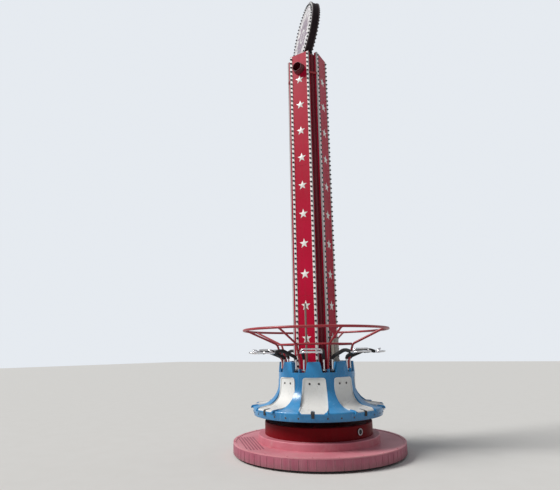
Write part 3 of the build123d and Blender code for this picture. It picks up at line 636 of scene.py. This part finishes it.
def as_unit(name, bm):
    """Keep a small bmesh as a mesh to copy from."""
    bmesh.ops.recalc_face_normals(bm, faces=bm.faces)
    mesh = bpy.data.meshes.new(name)
    bm.to_mesh(mesh)
    bm.free()
    return mesh


def repeated(unit, places, together=None):
    """A bmesh, new or given, with a copy of a small mesh at each place."""
    if together is None:
        together = bmesh.new()
    for place in places:
        copy = unit.copy()
        copy.transform(place)
        together.from_mesh(copy)
        bpy.data.meshes.remove(copy)
    return together


def piece(name, bm, body, finish, crease=38):
    """Turn a bmesh into an object that rides on a body."""
    mesh = bpy.data.meshes.new(name)
    bm.to_mesh(mesh)
    bm.free()
    mesh.materials.append(finish)
    mesh.shade_smooth()
    mesh.set_sharp_from_angle(angle=math.radians(crease))
    thing = bpy.data.objects.new(name, mesh)
    bpy.context.collection.objects.link(thing)
    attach(thing, body)
    print(name, "faces", len(mesh.polygons))
    return thing


# %% [markdown]
# ## Lamps and stars on the panels
# Two columns of small lamps run up the edges of every panel, nine centimetres
# apart, on a white enamelled channel. By day the lamps are out and their smoked
# domes look nearly black, so from far off a column reads as a white line with
# dark dots. A lamp could be one ball, but the collar below the dome is what
# separates it from the channel. On the left panel the columns stand further
# in, since none of its lamps shows past the edge. Stars are thin white sheet.

# %% Channel and lamp finishes
def channel_finish():
    material, place = begin("channel_white_enamel", coat_weight=0.3, coat_roughness=0.15)
    fine = grain(place, 45.0)
    tint = noise(place, 5.0, 2.0).between(0.4, 0.62)
    shade = blended(tint, (0.86, 0.86, 0.84), (0.78, 0.77, 0.74))
    shade = blended(rain_streaks(place, 24.0) * 0.3, shade, (0.5, 0.42, 0.38))
    return end(material, shade, 0.3 + fine * 0.15, fine, 0.0003)


def lamp_finish():
    material, place = begin("lamp_smoked_dome", coat_weight=0.8, coat_roughness=0.06)
    fine = grain(place, 60.0)
    tint = noise(place, 9.0, 2.0).between(0.4, 0.62)
    shade = blended(tint, (0.012, 0.016, 0.024), (0.028, 0.03, 0.036))
    shade = blended(facing_up(place) * fine * 0.3, shade, (0.2, 0.19, 0.18))
    return end(material, shade, 0.16 + fine * 0.2, fine, 0.0003)


channel_white = channel_finish()
lamp_dark = lamp_finish()

# %% Lamps in columns
FACES = {"front": 0, "right": 90, "back": 180, "left": 270}
LAMPS = 72
LAMP_PITCH = 0.0925
LAMP_RADIUS = 0.0165
TOP_LAMP = 7.285
LAMP_SIDE = {"front": 0.18, "right": 0.18, "back": 0.18, "left": 0.14}
CHANNEL_WIDTH = 0.044
CHANNEL_DEPTH = 0.003
CHANNEL_OVERRUN = 0.05
lamp_heights = [TOP_LAMP - LAMP_PITCH * k for k in reversed(range(LAMPS))]
dome_profile = [(0.0, 0.027), (0.007, 0.0258), (0.0128, 0.0215), (0.016, 0.0145)]
collar_profile = [(LAMP_RADIUS, 0.005), (0.0195, 0.0042), (0.0205, 0.0), (0.0, 0.0)]
lamp_unit = as_unit("lamp_unit", spun(dome_profile + collar_profile, 12))


def channel_bmesh(angle, aside):
    """Two white channels up one panel, at a distance to either side of its middle."""
    bm = bmesh.new()
    low, high = lamp_heights[0] - CHANNEL_OVERRUN, lamp_heights[-1] + CHANNEL_OVERRUN
    size = Matrix.Diagonal((CHANNEL_DEPTH, CHANNEL_WIDTH, high - low, 1))
    on_panel = around(angle, PANEL_FACE, (low + high) / 2)
    for side in (-1, 1):
        middle = on_panel @ moved(CHANNEL_DEPTH / 2, side * aside, 0)
        bmesh.ops.create_cube(bm, size=1, matrix=middle @ size)
    return bm


for face, angle in FACES.items():
    aside = LAMP_SIDE[face]
    places = [
        around(angle, PANEL_FACE, height) @ moved(CHANNEL_DEPTH, side * aside, 0) @ FACING_OUT
        for side in (-1, 1)
        for height in lamp_heights
    ]
    piece(f"lamp_channels_{face}", channel_bmesh(angle, aside), "mast", channel_white)
    piece(f"lamps_{face}", repeated(lamp_unit, places), "mast", lamp_dark)

# %% Five-pointed stars
SHEET = 0.003
STAR_RADIUS = 0.093
STAR_WAIST = 0.4
STARS = 12
STAR_PITCH = 0.55
TOP_STAR = 6.77
star_heights = [TOP_STAR - STAR_PITCH * k for k in range(STARS)]


def star_unit():
    """A five-pointed star of thin sheet with softened edges, lying in XY."""
    bm = bmesh.new()
    ring = bmesh.ops.create_circle(bm, cap_ends=True, segments=10, radius=STAR_RADIUS)
    for corner in ring["verts"][1::2]:
        corner.co *= STAR_WAIST
    thickened(bm, bm.faces[:], SHEET, soft=0.0009)
    return as_unit("star_unit", bm)


def star_finish():
    material, place = begin("star_white", coat_weight=0.3, coat_roughness=0.15)
    cloud = noise(place, 4.0, 4.0).between(0.36, 0.66)
    fine = grain(place, 50.0)
    shade = blended(cloud, (0.84, 0.83, 0.8), (0.74, 0.72, 0.68))
    shade = blended(rain_streaks(place, 22.0) * 0.3, shade, (0.45, 0.36, 0.33))
    return end(material, shade, 0.3 + fine * 0.15, fine, 0.0004)


star_white = star_finish()
star = star_unit()
point_up = FACING_OUT @ tipped(90, "Z")
for face, angle in FACES.items():
    places = [around(angle, PANEL_FACE, height) @ point_up for height in star_heights]
    piece(f"stars_{face}", repeated(star, places), "mast", star_white)

# %% [markdown]
# ## The disc sign
# The sign is a flat drum with a white enamelled face. Its picture here is a
# plain fairground burst: rays of two lengths round a hub, cut from thin sheet.
# Lamps stand on both faces along the rim. Only the drum's own axis matters for
# placing them, so one matrix carries every piece from a flat layout to the mast.

# %% The disc's place and its face
DISC_CENTRE = round(sum(corner.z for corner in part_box("disc_sign")) / 2, 3)
DISC_ANGLE = -45
DISC_LEAN = 6.5
DISC_FACE = 0.075
FACE_SKIN = 0.0015
disc_place = around(DISC_ANGLE, 0, DISC_CENTRE) @ tipped(-DISC_LEAN)
SIGN_AXIS = disc_place.to_3x3() @ Vector((1, 0, 0))
SIGN_FACES = {
    "front": disc_place @ FACING_OUT @ moved(0, 0, DISC_FACE),
    "back": disc_place @ tipped(-90) @ moved(0, 0, DISC_FACE),
}


def sign_finish():
    """White enamel on the faces and near-black paint on the drum's rim."""
    fixed = {"coat_roughness": 0.15, "specular_ior_level": 0.12}
    material, place = begin("sign_white_enamel", **fixed)
    x = coordinate(place, "X")
    y = coordinate(place, "Y")
    z = coordinate(place, "Z")
    along = x * SIGN_AXIS.x + y * SIGN_AXIS.y + (z - DISC_CENTRE) * SIGN_AXIS.z
    rim = along.size() < DISC_FACE - FACE_SKIN
    cloud = noise(place, 3.0, 4.0).between(0.36, 0.66)
    fine = grain(place, 40.0)
    shade = blended(cloud, (0.8, 0.79, 0.78), (0.7, 0.69, 0.7))
    shade = blended(rain_streaks(place, 18.0) * 0.35, shade, (0.42, 0.38, 0.38))
    dark = blended(fine, (0.012, 0.007, 0.009), (0.024, 0.014, 0.017))
    shade = blended(rim, shade, dark)
    rough = 0.28 + fine * 0.14 + rim * 0.25
    return end(material, shade, rough, fine, 0.0004, coat_weight=(1 - rim) * 0.2)


def burst_finish():
    material, place = begin("burst_mauve_enamel", coat_weight=0.35, coat_roughness=0.14)
    cloud = noise(place, 6.0, 4.0).between(0.36, 0.66)
    fine = grain(place, 48.0)
    shade = blended(cloud, (0.33, 0.25, 0.32), (0.42, 0.34, 0.4))
    shade = blended(fine * 0.2, shade, (0.2, 0.17, 0.19))
    return end(material, shade, 0.32 + fine * 0.12, fine, 0.0004)


burst_mauve = burst_finish()
dress("disc_sign", sign_finish())
print("disc centre", DISC_CENTRE, "axis", [round(v, 3) for v in SIGN_AXIS])


# %% The burst
def ray_unit(inner, outer, half):
    """One long kite-shaped ray of thin sheet, pointing along +X."""
    bm = bmesh.new()
    middle = inner + (outer - inner) * 0.3
    corners = [(inner, 0), (middle, -half), (outer, 0), (middle, half)]
    face = bm.faces.new([bm.verts.new((x, y, 0)) for x, y in corners])
    thickened(bm, [face], SHEET, soft=0.0008)
    return as_unit("ray_unit", bm)


def ring_unit(inner, outer, height, steps=72):
    """A flat ring with softened top edges."""
    soft = height * 0.3
    inner_wall = [(inner, 0), (inner, height - soft), (inner + soft, height)]
    outer_wall = [(outer - soft, height), (outer, height - soft), (outer, 0)]
    return as_unit("ring_unit", spun([*inner_wall, *outer_wall, (inner, 0)], steps))


RAYS = 12
STUD_CIRCLE = 0.48
NO_HOLE = 0.0001
long_ray = ray_unit(inner=0.13, outer=0.53, half=0.05)
short_ray = ray_unit(inner=0.15, outer=0.4, half=0.034)
border = ring_unit(inner=0.548, outer=0.56, height=0.003)
hub = ring_unit(NO_HOLE, outer=0.1, height=0.004, steps=40)
stud = ring_unit(NO_HOLE, outer=0.015, height=0.004, steps=14)
for side_name, flat in SIGN_FACES.items():
    art = repeated(long_ray, [flat @ turn for turn in turns(RAYS)])
    repeated(short_ray, [flat @ turn for turn in turns(RAYS, 0.5)], art)
    repeated(border, [flat], art)
    repeated(hub, [flat], art)
    repeated(stud, [flat @ turn @ moved(STUD_CIRCLE, 0, 0) for turn in turns(RAYS, 0.5)], art)
    piece(f"burst_{side_name}", art, "mast", burst_mauve)

# %% Lamps round both faces of the sign
SIGN_LAMPS = 56
SIGN_LAMP_CIRCLE = 0.612
for side_name, flat in SIGN_FACES.items():
    places = [flat @ turn @ moved(SIGN_LAMP_CIRCLE, 0, 0) for turn in turns(SIGN_LAMPS)]
    piece(f"sign_lamps_{side_name}", repeated(lamp_unit, places), "mast", lamp_dark)

# %% [markdown]
# ## Bolts
# Bolts tell how big a machine is. Two kinds are enough here: a dome-headed one
# on the shell, the seats and the port, and a hexagon with a washer elsewhere.

# %% Two bolt heads
def dome_bolt(radius, height):
    washer = [(radius * 1.45, 0), (radius * 1.45, height * 0.18), (radius, height * 0.22)]
    dome = [(radius * 0.92, height * 0.55), (radius * 0.6, height * 0.9), (0, height)]
    return as_unit("dome_bolt", spun(washer + dome, 12))


def hex_bolt(radius, height):
    """A hexagon head on a round washer."""
    bm = bmesh.new()
    washer_top = height * 0.25
    for segments, bottom, top, start, stop in (
        (14, radius * 1.35, radius * 1.35, 0, washer_top),
        (6, radius, radius * 0.96, washer_top, height),
    ):
        middle = moved(0, 0, (start + stop) / 2)
        bmesh.ops.create_cone(
            bm, cap_ends=True, segments=segments, radius1=bottom, radius2=top,
            depth=stop - start, matrix=middle,
        )
    return as_unit("hex_bolt", bm)


# %% Bolts on the gondola
SEAT_BOLT_HEIGHT = 1.106
SEAT_BOLT_SIDE = 0.073
SEAT_HIP = (0.643, 0.79)
SEAT_TOP = (0.630, 1.2)
RIM_BOLT_HEIGHT = 0.652
RIM_BOLT_SPREAD = 11
RIM_BOLT_SINK = 0.0005
RIM_LOW = (1.070, 0.6)
RIM_HIGH = (1.088, 0.7)


def radius_at(low, high, height):
    """Radius at a height on a straight flank between two (radius, height) points."""
    share = (height - low[1]) / (high[1] - low[1])
    return low[0] + (high[0] - low[0]) * share


seat_radius = radius_at(SEAT_HIP, SEAT_TOP, SEAT_BOLT_HEIGHT)
places = [
    around(angle, seat_radius, SEAT_BOLT_HEIGHT) @ moved(0, side * SEAT_BOLT_SIDE, 0) @ FACING_OUT
    for angle in SEAT_ANGLES
    for side in (-1, 1)
]
bolts = repeated(dome_bolt(radius=0.0125, height=0.009), places)
piece("seat_back_bolts", bolts, "gondola", finishes["bracket_black"])
rim_radius = radius_at(RIM_LOW, RIM_HIGH, RIM_BOLT_HEIGHT) - RIM_BOLT_SINK
rim_slope = math.degrees(math.atan((RIM_HIGH[0] - RIM_LOW[0]) / (RIM_HIGH[1] - RIM_LOW[1])))
places = [
    around(angle + offset, rim_radius, RIM_BOLT_HEIGHT) @ tipped(90 + rim_slope)
    for angle in SPOKE_ANGLES
    for offset in (-RIM_BOLT_SPREAD, 0, RIM_BOLT_SPREAD)
]
bolts = repeated(dome_bolt(radius=0.010, height=0.008), places)
piece("rim_bolts", bolts, "gondola", finishes["bracket_black"])

# %% [markdown]
# ## Foam pads on the restraint bars
# Each arm of a bar wears a thick foam sleeve. A real sleeve is slit, wrapped
# and glued, so it has a long seam, a cuff at each end, and small dents along it.
# The sleeve is swept from circles, each a little different from the last, and
# joined with bridges.

# %% Route of an arm
HINGE = (0.575, 1.313)
ARM_SIDE = 0.16
ARM_POINTS = [(0, 0), (0, 0.2), (0.295, 0.318), (0.455, 0.268), (0.585, 0.282)]
ARM_BENDS = [0.06, 0.2, 0.15]
PAD_START = 0.166
PAD_STOP = 0.636
ROUTE_STEP = 0.012


def bent_route(points, bends, step):
    """Even points along straight runs joined by arcs, in a flat plane."""
    points = [Vector(p) for p in points]
    route = [points[0]]
    for before, corner, after, bend in zip(points, points[1:], points[2:], bends):
        into = (corner - before).normalized()
        out = (after - corner).normalized()
        turn = abs(into.angle_signed(out))
        sign = 1 if into.cross(out) > 0 else -1
        start = corner - into * bend * math.tan(turn / 2)
        centre = start + Vector((-into.y, into.x)) * bend * sign
        count = max(3, int(turn * bend / step))
        for k in range(count + 1):
            route.append(centre + Matrix.Rotation(turn * sign * k / count, 2) @ (start - centre))
    route.append(points[-1])
    even = [route[0]]
    for target in route[1:]:
        while (target - even[-1]).length > step:
            even.append(even[-1] + (target - even[-1]).normalized() * step)
    return even


arm_route = bent_route(ARM_POINTS, ARM_BENDS, ROUTE_STEP)
pad_route = [p for k, p in enumerate(arm_route) if PAD_START <= k * ROUTE_STEP <= PAD_STOP]
print("arm", round(len(arm_route) * ROUTE_STEP, 3), "pad", round(len(pad_route) * ROUTE_STEP, 3))

# %% Sleeve and its pieces
PAD_RADIUS = 0.0285
CUFF_SHARE = 0.045
CUFF_SIZE = 0.9
GROOVE_SHARE = 0.065
GROOVE_SIZE = 0.93
SEAM_SIZE = 0.93
CAP_INSET = 0.006
CAP_BULGE = 0.0025
DENT_DEPTH = 0.018
DENT_PHASE = 41
DENT_CHANCE = 0.012
random.seed(7)


def pad_radius(share):
    """Radius of the sleeve along its length: cuffs, grooves and soft dents."""
    from_end = min(share, 1 - share)
    size = 1.0
    if from_end < CUFF_SHARE:
        size = CUFF_SIZE
    elif from_end < GROOVE_SHARE:
        size = GROOVE_SIZE
    wavy = DENT_DEPTH * math.sin(share * DENT_PHASE) ** 2
    return PAD_RADIUS * size * (1 - wavy - DENT_CHANCE * random.random())


def sleeve_unit(route):
    """A closed soft sleeve along a flat route, from bridged circles."""
    bm = bmesh.new()
    rings = []
    last = len(route) - 1
    for number, spot in enumerate(route):
        ahead = (route[min(number + 1, last)] - route[max(number - 1, 0)]).normalized()
        facing = Vector((ahead.x, 0, ahead.y)).to_track_quat("Z", "Y").to_matrix().to_4x4()
        centre = moved(HINGE[0] + spot.x, 0, HINGE[1] + spot.y)
        circle = {"segments": 20, "radius": pad_radius(number / last)}
        ring = bmesh.ops.create_circle(bm, cap_ends=False, matrix=centre @ facing, **circle)
        seam = ring["verts"][0]
        seam.co = centre.translation + (seam.co - centre.translation) * SEAM_SIZE
        rings.append(ring["verts"])
    for first, second in zip(rings, rings[1:]):
        loop = {e for v in first + second for e in v.link_edges if e.is_wire or e.is_boundary}
        chosen = [e for e in loop if set(e.verts) <= set(first) or set(e.verts) <= set(second)]
        bmesh.ops.bridge_loops(bm, edges=chosen)
    for ring in (rings[0], rings[-1]):
        cap = bm.faces.new(ring)
        bmesh.ops.inset_region(bm, faces=[cap], thickness=CAP_INSET, depth=CAP_BULGE)
    return as_unit("sleeve_unit", bm)


sleeve = sleeve_unit(pad_route)
for number, angle in enumerate(SEAT_ANGLES, start=1):
    places = [around(angle, 0, 0) @ moved(0, side * ARM_SIDE, 0) for side in (-1, 1)]
    copies = repeated(sleeve, places)
    pads = piece(f"foam_pads_{number}", copies, f"restraint_{number}", finishes["pad_black"], 60)
    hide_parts(f"restraint_pads_{number}")

# %% [markdown]
# ## Nuts on the hinge pins
# Each leg turns on a pin through two lugs. The pin's outer end carries a locking
# nut on a washer. The inner end stops short of the shell, so it stays bare.

# %% Pin nuts
PIN_END = 0.0245
places = [
    around(angle, *HINGE) @ moved(0, side * (ARM_SIDE + PIN_END), 0) @ tipped(-90 * side, "X")
    for angle in SEAT_ANGLES
    for side in (-1, 1)
]
nuts = repeated(hex_bolt(radius=0.0115, height=0.009), places)
piece("pin_nuts", nuts, "gondola", finishes["bolt_steel"])

# %% [markdown]
# ## Welds on the crown
# The crown is tube, notched and welded. A weld shows as a small rough bead
# where each strut meets the top ring. It catches the light and says that the
# tubes are one.

# %% Weld beads
STRUT_BEND = (0.69, 1.722)
STRUT_HEAD = (1.25, 1.968)
STRUT_RADIUS = 0.017
BEAD_RADIUS = 0.0035
BEAD_LUMPS = 0.0008
BEAD_SIDES = 6
BEAD_STEPS = 20
BEAD_FROM_RING = 0.024


def bead_unit():
    """A slightly lumpy ring of weld round +Z."""
    bm = bmesh.new()
    profile = []
    for k in range(BEAD_SIDES):
        angle = math.tau * k / BEAD_SIDES
        out = STRUT_RADIUS + BEAD_RADIUS * math.cos(angle)
        profile.append(bm.verts.new((out, 0, BEAD_RADIUS * math.sin(angle))))
    edges = [bm.edges.new(pair) for pair in zip(profile, profile[1:] + profile[:1])]
    full_spin(bm, profile + edges, BEAD_STEPS)
    for vert in bm.verts:
        vert.co.z += BEAD_LUMPS * math.sin(vert.co.x * 900) * math.cos(vert.co.y * 700)
    return as_unit("bead_unit", bm)


slope = math.atan2(STRUT_HEAD[1] - STRUT_BEND[1], STRUT_HEAD[0] - STRUT_BEND[0])
back = BEAD_FROM_RING / math.cos(slope)
down = back * math.tan(slope)
bead_tip = tipped(90 - math.degrees(slope))
places = [around(angle, STRUT_HEAD[0] - back, STRUT_HEAD[1] - down) @ bead_tip for angle in SPOKE_ANGLES]
piece("crown_top_welds", repeated(bead_unit(), places), "gondola", finishes["crown_red"])

# %% [markdown]
# ## Fittings on the box, the drum and the deck
# The last pieces are the ones a mechanic touches: the box's door and catch, the
# ring of the port in the drum, and thin raised strips on one side of the deck.
# The strips stand for the ribs of the deck's tread, and their dark paint is
# painted shade, the shade between the ribs.

# %% Box door, catch and hinges
DOOR_THICKNESS = 0.006
DOOR_MARGINS = (0.02, 0.03)
DOOR_HINGE_SIZE = (0.012, 0.016, 0.05)
DOOR_HINGE_OUT = 0.008
DOOR_HINGE_INSET = 0.026
DOOR_HINGE_RISE = 0.17
CATCH_SIZE = (0.014, 0.02, 0.045)
CATCH_OUT = 0.012
CATCH_INSET = 0.05


def slab(bm, size, place, soft=0.002):
    """Add a softened block to a bmesh."""
    cube = bmesh.ops.create_cube(bm, size=1, matrix=place @ Matrix.Diagonal((*size, 1)))
    edges = list({edge for vert in cube["verts"] for edge in vert.link_edges})
    rounded(bm, edges, soft)


low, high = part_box("control_box")
box_side = (low.y + high.y) / 2
box_middle = (low.z + high.z) / 2
door_width = (high.y - low.y) - 2 * DOOR_MARGINS[0]
door_height = (high.z - low.z) - 2 * DOOR_MARGINS[1]
door_place = moved(high.x + DOOR_THICKNESS / 2, box_side, box_middle)
bm = bmesh.new()
slab(bm, (DOOR_THICKNESS, door_width, door_height), door_place, soft=0.0025)
piece("box_door", bm, "gondola", finishes["box_beige"])
bm = bmesh.new()
for rise in (-DOOR_HINGE_RISE, DOOR_HINGE_RISE):
    place = moved(high.x + DOOR_HINGE_OUT, low.y + DOOR_HINGE_INSET, box_middle + rise)
    slab(bm, DOOR_HINGE_SIZE, place)
slab(bm, CATCH_SIZE, moved(high.x + CATCH_OUT, high.y - CATCH_INSET, box_middle))
piece("box_hinges_and_catch", bm, "gondola", finishes["bolt_steel"])

# %% Port ring on the drum
drum_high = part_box("drive_drum")[1]
DRUM_RADIUS = round(drum_high.x, 4)
DRUM_TOP = round(drum_high.z, 4)
PORT_ANGLE = 71
PORT_HEIGHT = 0.405
PORT_PROUD = 0.011
PORT_RING_HEIGHT = 0.006
PORT_SCREWS = 6
PORT_SCREW_CIRCLE = 0.043
port_ring = ring_unit(inner=0.034, outer=0.0525, height=PORT_RING_HEIGHT, steps=32)
port_place = around(PORT_ANGLE, DRUM_RADIUS + PORT_PROUD, PORT_HEIGHT) @ FACING_OUT
piece("port_ring", repeated(port_ring, [port_place]), "base", finishes["silver_trim"])
on_circle = moved(PORT_SCREW_CIRCLE, 0, PORT_RING_HEIGHT)
places = [port_place @ turn @ on_circle for turn in turns(PORT_SCREWS)]
screws = repeated(dome_bolt(radius=0.0035, height=0.0025), places)
piece("port_screws", screws, "base", finishes["bolt_steel"])

# %% Dark strips on the deck: tread ribs with painted shade
DECK_RIM_TOP = round(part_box("deck")[1].z, 4)
DECK_RIM_HEIGHT = 0.008
DECK_TOP = DECK_RIM_TOP - DECK_RIM_HEIGHT
STRIPS = 6
STRIP_ANGLE = -46
FIRST_STRIP = 1.03
STRIP_PITCH = 0.048
STRIP_WIDTH = 0.022
STRIP_THICKNESS = 0.003
STRIP_HALF = 0.52
STRIP_REACH = 1.345
# Dark paint on the strips: painted shade, for the shade between the tread's ribs.
strip_shade_paint = painted(
    "strip_painted_shade", (0.3, 0.06, 0.1), (0.38, 0.1, 0.14),
    matt=0.6, grime=0.2, chips=0.3, coat=0.0,
)
bm = bmesh.new()
for number in range(STRIPS):
    distance = FIRST_STRIP + STRIP_PITCH * number
    half = min(math.sqrt(STRIP_REACH ** 2 - distance ** 2), STRIP_HALF)
    place = around(STRIP_ANGLE, distance, DECK_TOP + STRIP_THICKNESS / 2)
    slab(bm, (STRIP_WIDTH, 2 * half, STRIP_THICKNESS), place, soft=0.001)
piece("deck_shade_strips", bm, "base", strip_shade_paint)

# %% Bolts round the deck and the drum
DECK_BOLTS = 24
DECK_BOLT_CIRCLE = 1.385
DRUM_BOLTS = 16
DRUM_BOLT_CIRCLE = 0.86
places = [around(angle, DECK_BOLT_CIRCLE, DECK_RIM_TOP) for angle in even_angles(DECK_BOLTS, 0.5)]
bolts = repeated(hex_bolt(radius=0.009, height=0.007), places)
piece("deck_bolts", bolts, "base", finishes["pink_deck"])
places = [around(angle, DRUM_BOLT_CIRCLE, DRUM_TOP) for angle in even_angles(DRUM_BOLTS)]
bolts = repeated(hex_bolt(radius=0.012, height=0.011), places)
piece("drum_bolts", bolts, "base", finishes["dark_red_drum"])

# %% [markdown]
# ## Stage, light and camera
# The photo was taken from eye height close to the ride, so the mast leans with
# perspective. The camera's place, its 28 mm lens and its small roll come from
# fitting known circles and rows of the ride to the picture. The light is that
# of a bright grey day: a wide soft sun, a faint one from behind, and a sky that
# looks brighter to the camera than it shines on the ride.

# %% Floor
FLOOR_HALF = 60


def floor_finish():
    """A plain pale ground, a little uneven in tone."""
    material, place = begin("pale_floor", roughness=0.85)
    uneven = noise(place, 3.0, 4.0).between(0.35, 0.65) * 0.25
    return link(material, base_color=blended(uneven, (0.62, 0.61, 0.59), (0.66, 0.655, 0.64)))


bm = bmesh.new()
bmesh.ops.create_grid(bm, x_segments=2, y_segments=2, size=FLOOR_HALF)
floor_mesh = bpy.data.meshes.new("floor")
bm.to_mesh(floor_mesh)
bm.free()
floor_mesh.materials.append(floor_finish())
floor = bpy.data.objects.new("floor", floor_mesh)
bpy.context.collection.objects.link(floor)

# %% Sky
SKY_COLOUR = (0.86, 0.9, 0.95)
SKY_LIGHT = 0.29
SKY_SHOWN = 0.63
scene = bpy.context.scene
scene.view_settings.view_transform = "Standard"
scene.world = bpy.data.worlds.new("studio_sky")
scene.world.use_nodes = True
sky_tree = scene.world.node_tree
background = sky_tree.nodes["Background"]
background.inputs["Color"].default_value = rgba(SKY_COLOUR)
rays = sky_tree.nodes.new("ShaderNodeLightPath")
seen = Wire(sky_tree, rays.outputs["Is Camera Ray"])
mirrored = Wire(sky_tree, rays.outputs["Is Glossy Ray"])
strength = SKY_LIGHT + (seen + mirrored * 0.4).held() * SKY_SHOWN
sky_tree.links.new(strength.socket, background.inputs["Strength"])
print("sky strength", SKY_LIGHT, "to the camera", round(SKY_LIGHT + SKY_SHOWN, 2))


# %% Soft suns
def soft_sun(name, place, power, softness, colour):
    """An even light from a direction, with soft-edged shadows."""
    data = bpy.data.lights.new(name, "SUN")
    data.energy = power
    data.angle = math.radians(softness)
    data.color = colour
    sun = bpy.data.objects.new(name, data)
    bpy.context.collection.objects.link(sun)
    sun.location = place
    sun.rotation_euler = (-Vector(place)).to_track_quat("-Z", "Y").to_euler()


soft_sun("key", (-7.0, -6.0, 9.0), power=3.3, softness=22, colour=(1.0, 0.985, 0.96))
soft_sun("back", (5.0, 8.0, 6.0), power=0.15, softness=40, colour=(0.94, 0.97, 1.0))

# %% Camera
CAMERA_DISTANCE = 7.857
CAMERA_HEIGHT = 1.6
CAMERA_ANGLE = 26.5
CAMERA_PITCH = 13.74
CAMERA_YAW = -4.37
CAMERA_ROLL = -0.816
PHOTO_WIDTH = 560
FOCAL_PIXELS = 438

side = math.radians(CAMERA_ANGLE)
yaw = math.radians(CAMERA_YAW)
pitch = math.radians(CAMERA_PITCH)
roll = math.radians(CAMERA_ROLL)
inward = Vector((-math.sin(side), math.cos(side), 0))
rightward = Vector((math.cos(side), math.sin(side), 0))
level = inward * math.cos(yaw) + rightward * math.sin(yaw)
look = level * math.cos(pitch) + Vector((0, 0, math.sin(pitch)))
right = look.cross(Vector((0, 0, 1))).normalized()
up = right.cross(look)
right_rolled = right * math.cos(roll) + up * math.sin(roll)
up_rolled = up * math.cos(roll) - right * math.sin(roll)
lens = bpy.data.cameras.new("camera")
lens.sensor_fit = "HORIZONTAL"
lens.sensor_width = 36
lens.lens = FOCAL_PIXELS / PHOTO_WIDTH * lens.sensor_width
lens.clip_end = 300
camera = bpy.data.objects.new("camera", lens)
bpy.context.collection.objects.link(camera)
aim = Matrix((right_rolled, up_rolled, -look)).transposed().to_4x4()
stand = inward * -CAMERA_DISTANCE
camera.matrix_world = moved(stand.x, stand.y, CAMERA_HEIGHT) @ aim
scene.camera = camera
print("lens", round(lens.lens, 2), "camera", [round(v, 2) for v in camera.matrix_world.translation])
